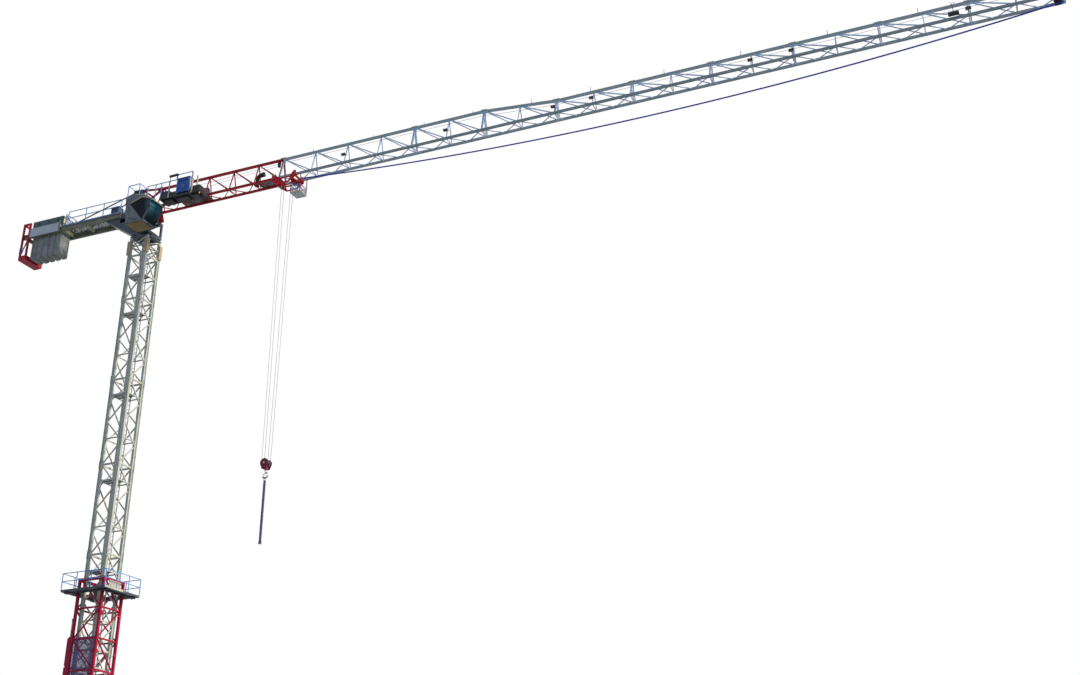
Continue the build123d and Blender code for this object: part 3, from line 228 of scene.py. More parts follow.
def makePiece(name, mesh, material, body="upper", standsFor=None, bevel=0.0, smooth=False):
    bmesh.ops.recalc_face_normals(mesh, faces=mesh.faces)
    if smooth:
        for face in mesh.faces:
            face.smooth = True
        for edge in mesh.edges:
            if len(edge.link_faces) == 2 and edge.calc_face_angle() > sharpAngle:
                edge.smooth = False
    piece = addMeshObject(name, mesh, material)
    if bevel:
        edges = piece.modifiers.new("brokenEdges", "BEVEL")
        edges.width, edges.segments, edges.limit_method = bevel, 1, "ANGLE"
    if body:
        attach(piece, body)
    if standsFor:
        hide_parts(standsFor)
    return piece


# The camera of the photograph, worked out for an image of 1080 by 675

cameraLook = {"place": (26.705, -31.31, 2.21), "lens": 41.93, "sensor": 36, "farClip": 600, "yaw": -20.89,
              "pitch": 24.32, "roll": -0.98}


def makeCamera(look):
    yaw, pitch, roll = (math.radians(look[k]) for k in ("yaw", "pitch", "roll"))
    forward = Vector((math.sin(yaw) * math.cos(pitch), math.cos(yaw) * math.cos(pitch), math.sin(pitch)))
    level = Vector((math.cos(yaw), -math.sin(yaw), 0))
    upright = level.cross(forward)
    right = level * math.cos(roll) + upright * math.sin(roll)
    up = upright * math.cos(roll) - level * math.sin(roll)
    data = bpy.data.cameras.new("camera")
    data.lens, data.sensor_width, data.clip_end = look["lens"], look["sensor"], look["farClip"]
    data.sensor_fit = "HORIZONTAL"
    camera = addObject("camera", data)
    turn = Matrix((right, up, -forward)).transposed().to_4x4()
    camera.matrix_world = Matrix.Translation(look["place"]) @ turn
    bpy.context.scene.camera = camera


makeCamera(cameraLook)


# Light: a soft sun from the jib's end of the crane, a pale sky and the pale floor's bounce

studio = {
    "sunFrom": (0.8, 0.1, 0.6), "sunStrength": 3.1, "sunAngle": 8, "sunColour": "#FFF6E6",
    "skyColour": "#BCD4FC", "skyStrength": 0.44, "floorColour": "#EDEBE6", "floorBounce": "#7C8288",
    "floorRadius": 140, "floorLevel": -0.002,
}


def seenBy(tree, *kinds):
    # 1 for rays of these kinds, such as the camera's
    rays = addNode(tree, "LightPath", {}, None)
    seen = rays[f"Is {kinds[0]} Ray"]
    for kind in kinds[1:]:
        seen = addNode(tree, "Math", {"operation": "MAXIMUM", 0: seen, 1: rays[f"Is {kind} Ray"]})
    return seen


def makeStudio(look):
    sun = bpy.data.lights.new("sun", "SUN")
    sun.energy, sun.angle = look["sunStrength"], math.radians(look["sunAngle"])
    sun.color = linearColour(look["sunColour"])[:3]
    addObject("sun", sun).rotation_euler = Vector(look["sunFrom"]).to_track_quat("Z", "Y").to_euler()
    world = bpy.data.worlds.new("sky")
    bpy.context.scene.world = world
    world.use_nodes = True
    tree = world.node_tree
    tree.nodes.clear()
    light = {"Color": look["skyColour"], "Strength": look["skyStrength"]}
    sky, backdrop = (addNode(tree, "Background", s) for s in (light, {"Color": (1, 1, 1, 1), "Strength": 1.0}))
    seen = seenBy(tree, "Camera", "Glossy", "Transmission")
    mix = addNode(tree, "MixShader", {0: seen, 1: sky, 2: backdrop})
    addNode(tree, "OutputWorld", {"Surface": mix}, None)
    paper = bpy.data.materials.new("paperFloor")
    paper.use_nodes = True
    tree = paper.node_tree
    seen = seenBy(tree, "Camera", "Glossy")  # the eye sees pale paper, which throws little light upwards
    tone = laidOver(tree, look["floorBounce"], look["floorColour"], seen)
    dressShader(tree, {"Base Color": tone, "Roughness": 0.9})
    mesh = bmesh.new()
    bmesh.ops.create_circle(mesh, cap_ends=True, segments=96, radius=look["floorRadius"])
    floor = addMeshObject("studioFloor", mesh, "paperFloor")
    floor.location.z = look["floorLevel"]
    bpy.context.scene.view_settings.view_transform = "Standard"


makeStudio(studio)
print("camera, light and floor made")


# Materials, each named for the real one and how its surface was made

def startMaterial(name):
    material = bpy.data.materials.new(name)
    material.use_nodes = True
    return material.node_tree, addNode(material.node_tree, "TexCoord", {}, "Object")


def repeats(millimetres):
    # How often a pattern comes in a metre, from its real length or its lengths along X, Y and Z
    lengths = millimetres if isinstance(millimetres, tuple) else (millimetres,) * 3
    return [1000 / m for m in lengths]


def pattern(tree, kind, place, millimetres, settings, output="Fac"):
    scaled = addNode(tree, "Mapping", {"Scale": repeats(millimetres), "Vector": place})
    return addNode(tree, "Tex" + kind, {"Scale": 1.0, "Vector": scaled, **settings}, output)


# Sprayed paint on rolled steel: its colour, faded patches, dark runs below joints, rust, and how much has worn
sprayedPaints = {
    "ivoryMastPaint": ("#D3D2BD", "#E4E3D6", "#5F625A", "#7A4A2A", 0.62),
    "creamTrimPaint": ("#DCCFA6", "#E8DFC4", "#6B6144", "#7A4A2A", 0.66),
    "sandFloorPaint": ("#A38E58", "#B5A272", "#4E4426", "#6A4A32", 0.68),
    "plumScreenPaint": ("#765F88", "#8B7A9C", "#2E2A36", "#5A3A30", 0.6),
    "darkRedPaint": ("#5E0815", "#7A1424", "#24040A", "#4A2018", 0.66),
    "blackSteelPaint": ("#23262A", "#393D42", "#0F1012", "#4A3426", 0.66),
    "tanBootPaint": ("#CDB288", "#DCC8A2", "#6B5B42", "#7A4A2A", 0.6),
    "paleJibPaint": ("#A4B0AA", "#BCC6C2", "#56605C", "#7A5A3E", 0.65),
    "crimsonBlockPaint": ("#84042A", "#960C38", "#3A0414", "#4A1A14", 0.7),
    # A lit copy of the red frame paint: painted sunlight on the trolley frame, the root gussets and the basket
    # posts
    "paintedSunlitRedPaint": ("#E00A20", "#F02434", "#6A0818", "#5A1E14", 0.7),
    "redFramePaint": ("#B80026", "#CC0E36", "#460410", "#4A1A14", 0.7),
    "redCagePaint": ("#B00830", "#C81E4C", "#3A0414", "#5A2A1A", 0.64),
    "blueRailPaint": ("#5CA8FA", "#90C8FC", "#4A6AA0", "#7A5A3E", 0.66),
    # Slate paint, also laid on the mast head and slewing base as painted shade
    "slatePaintAndPaintedShade": ("#4C5762", "#66717B", "#22272C", "#6A4A32", 0.65),
    "oliveGirderPaint": ("#82836C", "#9B9C88", "#3B3B2E", "#6A4A32", 0.63),
    "tealHousingPaint": ("#566868", "#6F8080", "#26302F", "#6A4A32", 0.66),
    "whitePanelPaint": ("#D9DCDB", "#E6E8E7", "#8A8C88", "#7A5A3E", 0.7),
    "greyCabPaint": ("#7A8082", "#8D9496", "#3A3E3E", "#6A4A32", 0.68),
    "blueCabinetPaint": ("#2F62B0", "#4A78C0", "#16284A", "#6A4A32", 0.7),
    "blackLampPaint": ("#17181B", "#2C2D31", "#08080A", "#4A3426", 0.7),
}
# The size of each pattern in millimetres, and the values between which it comes in
paintPatterns = {"fadePatch": 420, "run": (26, 26, 520), "chip": 34, "orangePeel": 6,
                 "fadeLevels": (0.38, 0.68), "runLevels": (0.56, 0.82)}

# The lacing and the chords of the pale jib, whose top chord comes down along the tapering section; the paler chord
# colour is painted light
jibCoat = {
    "web": "#D2EAFF", "webFaded": "#ECF6FF", "paintedLightChord": "#CAD4CE", "line": 0.22, "reach": 0.046,
    "taper": (12.96, 15.46), "depth": (0.845, 0.585),
}


def chordMask(tree, parts, look):
    # 1 on the lower chords and on the top chord
    across = addNode(tree, "Math", {"operation": "ABSOLUTE", 0: parts["Y"]})
    outside = addNode(tree, "Math", {"operation": "GREATER_THAN", 0: across, 1: look["line"] - look["reach"]})
    below = addNode(tree, "Math", {"operation": "LESS_THAN", 0: parts["Z"], 1: plane + look["reach"]})
    low = addNode(tree, "Math", {"operation": "MULTIPLY", 0: outside, 1: below})
    (start, end), (deep, shallow) = look["taper"], look["depth"]
    top = addNode(tree, "MapRange", {0: parts["X"], 1: start, 2: end, 3: plane + deep, 4: plane + shallow})
    limit = addNode(tree, "Math", {"operation": "SUBTRACT", 0: top, 1: look["reach"]})
    high = addNode(tree, "Math", {"operation": "GREATER_THAN", 0: parts["Z"], 1: limit})
    return addNode(tree, "Math", {"operation": "MAXIMUM", 0: low, 1: high})


def jibColour(tree, place, web, chord, look):
    # Painted light and shade: the top chord and the chord away from the cab are painted paler than the near lower
    # chord
    parts = addNode(tree, "SeparateXYZ", {0: place}, None)
    paintedLightMask = addNode(tree, "Math", {"operation": "GREATER_THAN", 0: parts["Y"], 1: -look["line"] * 0.6})
    chord = laidOver(tree, chord, look["paintedLightChord"], paintedLightMask, most=0.6)
    return laidOver(tree, web, chord, chordMask(tree, parts, look))


def sprayedPaint(name, shades, look):
    colour, faded, grime, rust, wear = shades
    tree, place = startMaterial(name)
    fade = pattern(tree, "Noise", place, look["fadePatch"], {"Detail": 4.0})
    run = pattern(tree, "Noise", place, look["run"], {"Detail": 3.0})
    chip = pattern(tree, "Noise", place, look["chip"], {"Detail": 6.0, "Roughness": 0.7})
    grain = pattern(tree, "Noise", place, look["orangePeel"], {})
    colour = laidOver(tree, colour, faded, fade, *look["fadeLevels"])
    colour = laidOver(tree, colour, grime, run, *look["runLevels"], 0.55)
    colour = laidOver(tree, colour, rust, chip, wear, wear + 0.05)
    if name == "paleJibPaint":
        web = laidOver(tree, jibCoat["web"], jibCoat["webFaded"], fade, *look["fadeLevels"])
        web = laidOver(tree, web, grime, run, *look["runLevels"], 0.2)
        colour = jibColour(tree, place, web, colour, jibCoat)
    dressShader(tree, {
        "Base Color": colour, "Roughness": addNode(tree, "MapRange", {0: fade, 1: 0.3, 2: 0.7, 3: 0.38, 4: 0.56}),
        "Normal": addNode(tree, "Bump", {"Strength": 0.12, "Distance": 0.001, "Height": grain}),
        "Specular IOR Level": 0.22,  # weathered paint has lost most of its gloss
    })


def galvanisedSteel(name, look):
    # Hot-dipped zinc: a pattern of pale crystals, dull and slightly rough
    tree, place = startMaterial(name)
    crystals = pattern(tree, "Voronoi", place, look["crystal"], {}, "Color")
    cloud = pattern(tree, "Noise", place, look["stain"], {"Detail": 3.0})
    colour = laidOver(tree, look["colour"], look["bright"], crystals)
    colour = laidOver(tree, colour, look["dull"], cloud, 0.45, 0.75, 0.7)
    roughness = addNode(tree, "MapRange", {0: cloud, 1: 0.3, 2: 0.7, 3: 0.42, 4: 0.62})
    dressShader(tree, {"Base Color": colour, "Roughness": roughness, "Metallic": 0.75})


def turnedSteel(name, look):
    # Machined and greased steel: fine tool marks and dark grease in patches
    tree, place = startMaterial(name)
    marks = pattern(tree, "Noise", place, (look["toolMark"] * 12, look["toolMark"], look["toolMark"]), {})
    grease = pattern(tree, "Noise", place, look["greasePatch"], {"Detail": 5.0})
    colour = laidOver(tree, look["colour"], look["bright"], marks)
    colour = laidOver(tree, colour, look["grease"], grease, 0.42, 0.66, 0.85)
    roughness = addNode(tree, "MapRange", {0: grease, 1: 0.4, 2: 0.7, 3: 0.3, 4: 0.55})
    dressShader(tree, {"Base Color": colour, "Roughness": roughness, "Metallic": 0.85})


def castConcrete(name, look):
    # Concrete poured in a steel mould: cloudy cement skin, air holes and rain streaks
    tree, place = startMaterial(name)
    cloud = pattern(tree, "Noise", place, look["cloud"], {"Detail": 6.0})
    streak = pattern(tree, "Noise", place, (look["streak"], look["streak"], look["streak"] * 14), {"Detail": 4.0})
    holes = pattern(tree, "Voronoi", place, look["airHole"], {}, "Distance")
    pit = addNode(tree, "MapRange", {0: holes, 1: 0.06, 2: 0.14})
    colour = laidOver(tree, look["colour"], look["pale"], cloud, 0.35, 0.68)
    colour = laidOver(tree, colour, look["stain"], streak, 0.52, 0.8, 0.6)
    dressShader(tree, {"Base Color": laidOver(tree, look["stain"], colour, pit), "Roughness": 0.88,
                       "Normal": addNode(tree, "Bump", {"Strength": 0.5, "Distance": 0.004, "Height": pit})})


def tintedGlass(name, look):
    # Toughened glass with a tint and a thin film of dust
    tree, place = startMaterial(name)
    dust = pattern(tree, "Noise", place, look["dustPatch"], {"Detail": 5.0})
    colour = look["colour"]
    if "band" in look:  # a teal band along the top of the front window, a painted reflection of the sky
        parts = addNode(tree, "SeparateXYZ", {0: place}, None)
        (low, high), (start, end) = look["bandHeight"], look["front"]
        height = addNode(tree, "MapRange", {0: parts["Z"], 1: low, 2: high})
        front = addNode(tree, "MapRange", {0: parts["X"], 1: start, 2: end})
        reflectionShare = addNode(tree, "Math", {"operation": "MULTIPLY", 0: height, 1: front})
        colour = laidOver(tree, colour, look["band"], reflectionShare)
    colour = laidOver(tree, colour, look["dust"], dust, 0.45, 0.75, 0.25)
    roughness = addNode(tree, "MapRange", {0: dust, 1: 0.4, 2: 0.8, 3: 0.03, 4: 0.18})
    dressShader(tree, {"Base Color": colour, "Roughness": roughness, "IOR": 1.5,
                       "Transmission Weight": look["clear"], "Specular IOR Level": look["gloss"]})


def laidRope(name, look):
    # Wire rope laid from strands: slanting bright and greased bands, drawn coarser than the real lay
    tree, place = startMaterial(name)
    scaled = addNode(tree, "Mapping", {"Scale": repeats(look["lay"]), "Vector": place})
    turned = addNode(tree, "Mapping", {"Rotation": (look["slant"], look["slant"], 0), "Vector": scaled})
    wave = {"Scale": 1.0, "Distortion": 1.0, "wave_profile": "SIN", "Vector": turned}
    band = addNode(tree, "TexWave", wave, "Fac")
    dressShader(tree, {"Base Color": laidOver(tree, look["grease"], look["wire"], band), "Roughness": 0.5,
                       "Metallic": look["metal"], "Specular IOR Level": 0.2,
                       "Normal": addNode(tree, "Bump", {"Strength": 0.6, "Distance": 0.002, "Height": band})})


def mouldedPlastic(name, look):
    # Moulded plastic or rubber: one body colour with a fine grain and sun-bleached patches
    tree, place = startMaterial(name)
    patch = pattern(tree, "Noise", place, look["patch"], {"Detail": 3.0})
    grain = pattern(tree, "Noise", place, look["grain"], {})
    dressShader(tree, {"Base Color": laidOver(tree, look["colour"], look["bleached"], patch, 0.4, 0.7),
                       "Normal": addNode(tree, "Bump", {"Strength": 0.2, "Distance": 0.0006, "Height": grain}),
                       "Roughness": look["roughness"]})


otherMaterials = {
    "hotDippedZinc": (galvanisedSteel, {
        "colour": "#8E9494", "bright": "#B4BABA", "dull": "#6A6E6C", "crystal": 14, "stain": 300}),
    # The gratings' zinc is painted dark as painted shade on their undersides
    "paintedShadeGratingSteel": (galvanisedSteel, {
        "colour": "#4E5452", "bright": "#6C7270", "dull": "#2E3230", "crystal": 14, "stain": 200}),
    "turnedGreasedSteel": (turnedSteel, {
        "colour": "#7C7E82", "bright": "#A9ABAE", "grease": "#2A2622", "toolMark": 4, "greasePatch": 60}),
    "oiledChainSteel": (turnedSteel, {
        "colour": "#4A4E7A", "bright": "#6A6E9C", "grease": "#3A2C48", "toolMark": 4, "greasePatch": 60}),
    "mouldedConcrete": (castConcrete, {
        "colour": "#95988F", "pale": "#B4B6AE", "stain": "#6A6856", "cloud": 260, "streak": 40, "airHole": 34}),
    "tintedToughenedGlass": (tintedGlass, {
        "colour": "#06122A", "dust": "#0E1C30", "dustPatch": 180, "clear": 0.03, "gloss": 0.06,
        # The teal band is a painted reflection of the sky along the top of the front window
        "band": "#3A8490", "bandHeight": (23.95, 24.36), "front": (0.7, 0.93)}),
    "pressedLampGlass": (tintedGlass, {
        "colour": "#39424E", "dust": "#6A6E70", "dustPatch": 60, "clear": 0.35, "gloss": 0.5}),
    "laidWireRope": (laidRope, {
        "grease": "#777C96", "wire": "#949AB4", "lay": 40, "slant": 0.6, "metal": 0.6}),
    "greasedWireRope": (laidRope, {
        "grease": "#3444BC", "wire": "#4C60D4", "lay": 40, "slant": 0.6, "metal": 0.05}),
    "extrudedRubber": (mouldedPlastic, {
        "colour": "#141414", "bleached": "#232323", "patch": 120, "grain": 2, "roughness": 0.7}),
    "mouldedOrangeLens": (mouldedPlastic, {
        "colour": "#F08A12", "bleached": "#F6A53C", "patch": 60, "grain": 3, "roughness": 0.25}),
    "mouldedRedLens": (mouldedPlastic, {
        "colour": "#B80E1C", "bleached": "#C83A40", "patch": 60, "grain": 3, "roughness": 0.25}),
    "extrudedCableSheath": (mouldedPlastic, {
        "colour": "#3E8C86", "bleached": "#62A8A0", "patch": 200, "grain": 2, "roughness": 0.5}),
    "wovenSeatCover": (mouldedPlastic, {
        "colour": "#25282C", "bleached": "#34383E", "patch": 60, "grain": 4, "roughness": 0.9}),
}

nodeFinish = {  # every node that isn't listed is one of the outer jib sections
    "ivoryMastPaint": "cross_base mast_side_near mast_side_jib mast_side_far mast_side_rear",
    "hotDippedZinc": "rest_platforms mast_ladder jib_walkways counter_jib_deck",
    "tanBootPaint": "mast_boots",
    # The slate on mast_head and slewing_base is painted shade, laid in place of the mast's ivory
    "slatePaintAndPaintedShade": "mast_head slewing_base slewing_frame counter_jib_bracket trolley_winch cage_platform",
    "turnedGreasedSteel": "slewing_ring trolley_wheels trolley_sheaves hook_block_sheaves hook chain_sling",
    "paintedSunlitRedPaint": "root_gussets trolley_frame",
    "whitePanelPaint": "winch_guide_frame side_panel",
    "redFramePaint": "jib_root counterweight_end_frame maintenance_basket",
    "oliveGirderPaint": "counter_jib tie_bars",
    "blueRailPaint": "counter_jib_railings cab_roof_rail tray_railing cage_railing",
    "mouldedConcrete": "counterweight_slabs",
    "tealHousingPaint": "winch_housing",
    "greyCabPaint": "cab_shell",
    "tintedToughenedGlass": "cab_glass",
    "blackSteelPaint": "cabinet_tray",
    "blueCabinetPaint": "electric_cabinet",
    "blackLampPaint": "floodlights",
    "laidWireRope": "trolley_ropes hoist_falls",
    "crimsonBlockPaint": "hook_block",
    "redCagePaint": "cage_side_near cage_side_jib cage_side_far cage_side_rear climbing_ram_housing",
}


def finishNodes():
    finishes = {node: finish for finish, nodes in nodeFinish.items() for node in nodes.split()}
    for name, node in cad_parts.items():
        node.data.materials.clear()
        node.data.materials.append(bpy.data.materials[finishes.get(name, "paleJibPaint")])


for name, shades in sprayedPaints.items():
    sprayedPaint(name, shades, paintPatterns)
for name, (makeMaterial, look) in otherMaterials.items():
    makeMaterial(name, look)
finishNodes()
print("materials made:", len(bpy.data.materials))


# Mast: ladder rungs between the bars of the mast, and the bolts of the joint sleeves

mast = {
    "jointFirst": 0.6, "jointPitch": 2.96, "joints": 8, "sleeveFace": 0.393, "boltSize": 0.016,
    "boltRows": (-0.09, -0.045, 0.045, 0.09), "boltAcross": 0.36,
    "rungs": 150, "rungPitch": 0.148, "rungRadius": 0.008, "rungHalf": 0.115, "rungLine": 0.11,
    "rungOfFrame": 5, "frameRung": 2,
}


def makeMastDetail(look):
    rungs, bolts = newMeshes(2)
    for i in range(look["rungs"]):
        height = look["jointFirst"] + (i + 0.5) * look["rungPitch"]
        if i % look["rungOfFrame"] != look["frameRung"]:  # those rungs are in the solids
            ends = [(s * look["rungHalf"], look["rungLine"], height) for s in signs]
            addTube(rungs, ends, look["rungRadius"], 6)
    makePiece("ladderRungs", rungs, "hotDippedZinc", "tower", smooth=True)
    joints = [look["jointFirst"] + i * look["jointPitch"] for i in range(look["joints"])]
    levels = [joint + row for joint in joints for row in look["boltRows"] if joint + row >= joints[0]]
    for level in levels:
        for s, t in quarters:
            face, across = s * look["sleeveFace"], t * look["boltAcross"]
            addBolt(bolts, (face, across, level), xWay * s, look["boltSize"])
            addBolt(bolts, (across, face, level), yWay * s, look["boltSize"])
    makePiece("sleeveBolts", bolts, "hotDippedZinc", "tower")


makeMastDetail(mast)
print("mast detail made")


# Ropes: the falls run straight between trolley and hook block, and the trolley ropes sag between trolley and jib
# tip

falls = {"spread": 0.185, "gap": 0.075, "radius": 0.0065, "steps": 40, "sides": 8}
trolleyPull = {"gap": 0.016, "radius": 0.014, "sag": 0.65, "steps": 96, "drop": 0.055, "tuck": 0.09,
               "blendBefore": 2.6, "blendBeyond": 1.5}


def makeRopes(look, pull):
    low, high = corners(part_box("hoist_falls"), 0)
    middle = (low.x + high.x) / 2
    blockLow, blockHigh = corners(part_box("hook_block_sheaves"), 0)
    narrow = (blockHigh.x - blockLow.x) / 2
    mesh = bmesh.new()
    for s, t in quarters:
        y = t * look["gap"]
        ends = [(middle + s * look["spread"], y, high.z), (middle + s * narrow, y, low.z)]
        addTube(mesh, pointsBetween(*ends, look["steps"]), look["radius"], look["sides"])
    piece = makePiece("hoistFalls", mesh, "laidWireRope", None, "hoist_falls", smooth=True)
    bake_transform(piece)
    low, high = corners(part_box("trolley_ropes"), 0)
    mesh = bmesh.new()
    level = high.z - pull["radius"]
    for s in signs:
        y = s * pull["gap"]
        ends = [(low.x - pull["tuck"], y, level), (high.x, y, level - pull["drop"])]
        addTube(mesh, pointsBetween(*ends, pull["steps"], pull["sag"]), pull["radius"], look["sides"])
    piece = makePiece("trolleyRopes", mesh, "greasedWireRope", None, "trolley_ropes", smooth=True)
    start, end = ((x, 0, level) for x in (low.x - pull["blendBefore"], high.x + pull["blendBeyond"]))
    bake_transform(piece)
    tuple(start)
    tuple(end)


makeRopes(falls, trolleyPull)
print("ropes made")


# Cables clipped to the mast beside two legs, and the teeth of the slewing ring

mastCable = {"places": ((0.405, 0.352), (-0.352, -0.405)), "radius": 0.009, "top": 23.03, "foot": 0.62,
             "clips": 30, "clipPitch": 0.74, "clipHalf": (0.012, 0.012, 0.008), "leg": 0.375}
ringTeeth = {"count": 84, "radius": 0.364, "depth": 0.01, "low": 23.768, "high": 23.812}


def makeMastCables(look, ring):
    cable, clips, teeth = newMeshes(3)
    for x, y in look["places"]:
        addTube(cable, [(x, y, look[end]) for end in ("top", "foot")], look["radius"], 8)
        legX = math.copysign(look["leg"], x) if abs(x) > abs(y) else x
        legY = math.copysign(look["leg"], y) if abs(y) > abs(x) else y
        for i in range(look["clips"]):
            z = look["foot"] + (i + 0.5) * look["clipPitch"]
            low, high = Vector((min(x, legX), min(y, legY), z)), Vector((max(x, legX), max(y, legY), z))
            addBox(clips, low - Vector(look["clipHalf"]), high + Vector(look["clipHalf"]))
    makePiece("mastCables", cable, "extrudedCableSheath", "tower", smooth=True)
    makePiece("cableClips", clips, "hotDippedZinc", "tower")
    middle = zWay * ((ring["low"] + ring["high"]) / 2)
    width = ring["radius"] * math.pi / ring["count"]
    for spoke in spokes(ring["count"]):
        root = spoke * ring["radius"] + middle
        addBar(teeth, root, root + spoke * ring["depth"], width, ring["high"] - ring["low"])
    makePiece("ringTeeth", teeth, "turnedGreasedSteel", "tower")


makeMastCables(mastCable, ringTeeth)
print("mast cables and ring teeth made")


# Gratings of the counter-jib and the jib, with toe boards

walking = {"pitches": (0.03, 0.05), "deckThick": 0.016, "deckBar": 0.004, "deckEdge": 0.003, "jibBar": 0.01,
           "jibEdge": 0.004, "jibSpans": ((1.4, 2.56), (4.56, 5.29)), "toeLine": 0.338, "toeBoard": 0.055,
           "toeThick": 0.005}


def addGrating(mesh, low, high, pitches, depth, thick, edge=0.0):
    # Bearing bars with cross rods, and a border along both sides
    rows, columns = (round((high[k] - low[k]) / pitch) for k, pitch in zip((1, 0), pitches))
    half, top = thick / 2, high[2]
    for i in range(rows + 1):
        y = low[1] + (high[1] - low[1]) * i / rows
        addBox(mesh, (low[0], y - half, top - depth), (high[0], y + half, top))
    for i in range(columns + 1):
        x = low[0] + (high[0] - low[0]) * i / columns
        addBox(mesh, (x - half, low[1], top - depth * 0.4), (x + half, high[1], top - depth * 0.1))
    for y in (low[1], high[1]) if edge else ():
        addBox(mesh, (low[0], y - edge, low[2]), (high[0], y + edge, high[2]))


def makeWalkways(look):
    deck, boards, walk = newMeshes(3)
    low, high = corners(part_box("counter_jib_deck"), 0)
    addGrating(deck, low, high, look["pitches"], look["deckThick"], look["deckBar"], look["deckEdge"])
    makePiece("deckGrating", deck, "paintedShadeGratingSteel", standsFor="counter_jib_deck")
    outer = look["toeLine"]
    inner = outer - look["toeThick"]
    for y, otherY in ((-outer, -inner), (inner, outer)):
        addBox(boards, (low.x, y, high.z), (high.x, otherY, high.z + look["toeBoard"]))
    makePiece("toeBoards", boards, "blueRailPaint")
    low, high = corners(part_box("jib_walkways"), 0)
    for start, end in look["jibSpans"]:
        addGrating(walk, (start, low.y, low.z), (end, high.y, high.z), look["pitches"], high.z - low.z,
                   look["jibBar"], look["jibEdge"])
    makePiece("jibGratings", walk, "paintedShadeGratingSteel", standsFor="jib_walkways")


makeWalkways(walking)
print("gratings made")


# Cab, in x and z from the plane: gaskets, trim, underside, door, wiper, seat, cooler

cab = {
    "near": -1.15, "far": -0.5,
    "window": [(0.12, -0.33), (0.59, -0.165), (0.935, -0.29), (0.93, -0.535), (0.665, -1.02)],
    "roof": ((0.26, 0.05), (0.66, -0.048), (0.97, -0.265)),
    "front": ((0.97, -0.265), (0.965, -0.54), (0.7, -1.09)),
    "heel": (0.0, -1.09), "gasket": 0.022, "gasketDepth": 0.014, "gasketProud": 0.004, "frontInset": 0.03,
    "mullion": 0.014, "trim": 0.05, "trimDepth": 0.012, "visorReach": 0.1, "visorDrop": 0.055, "visorEdge": 0.034,
    "browBand": 0.045, "floorPanels": 4, "seam": 0.006,
    "door": [(-0.085, -0.16), (0.105, -0.12), (0.105, -0.98), (-0.045, -0.98)],
    "doorLine": ((0.12, -0.7), (0.5, -0.7)), "handle": (0.07, -0.6, 0.16), "hinges": (-0.26, -0.84),
    "grabBar": ((0.44, -1.02), (0.16, -0.9)), "wiperLine": -0.86,
    "cooler": ((0.03, -0.96, 0.03), (0.29, -0.68, 0.33)), "coolerSlats": 9,
    "seat": (0.22, -0.82, -1.02), "seatHalf": 0.11,
    "coolerFan": [(0.1, 0), (0.1, 0.012), (0.085, 0.016), (0.085, 0.004), (0.02, 0.004), (0.02, 0.012)],
    "seatFoot": [(0.09, 0), (0.09, 0.012), (0.03, 0.02), (0.025, 0.14), (0.07, 0.15)],
    "joystick": [(0.018, 0), (0.008, 0.015), (0.006, 0.06), (0.013, 0.075), (0.01, 0.09)],
    "pedal": ((0.33, 0), (0.4, 0.3), (0.37, 0.32), (0.28, 0)),
    "seatShape": ((-0.11, 0.16, 0.8), (-0.08, 0.215, 0.96), (0.02, 0.222, 1.0), (0.09, 0.215, 0.98),
                  (0.115, 0.175, 0.86)),
    "backShape": ((-0.1, 0.2, 0.05), (-0.13, 0.3, 0.06), (-0.155, 0.45, 0.055), (-0.175, 0.56, 0.04)),
}


def cabPoint(pair, y, lift=0.0):
    return (pair[0], y, plane + pair[1] + lift)


def addCabBar(mesh, ends, y, width, depth, up=yWay, lift=0.0):
    addBar(mesh, *(cabPoint(end, y, lift) for end in ends), width, depth, up)


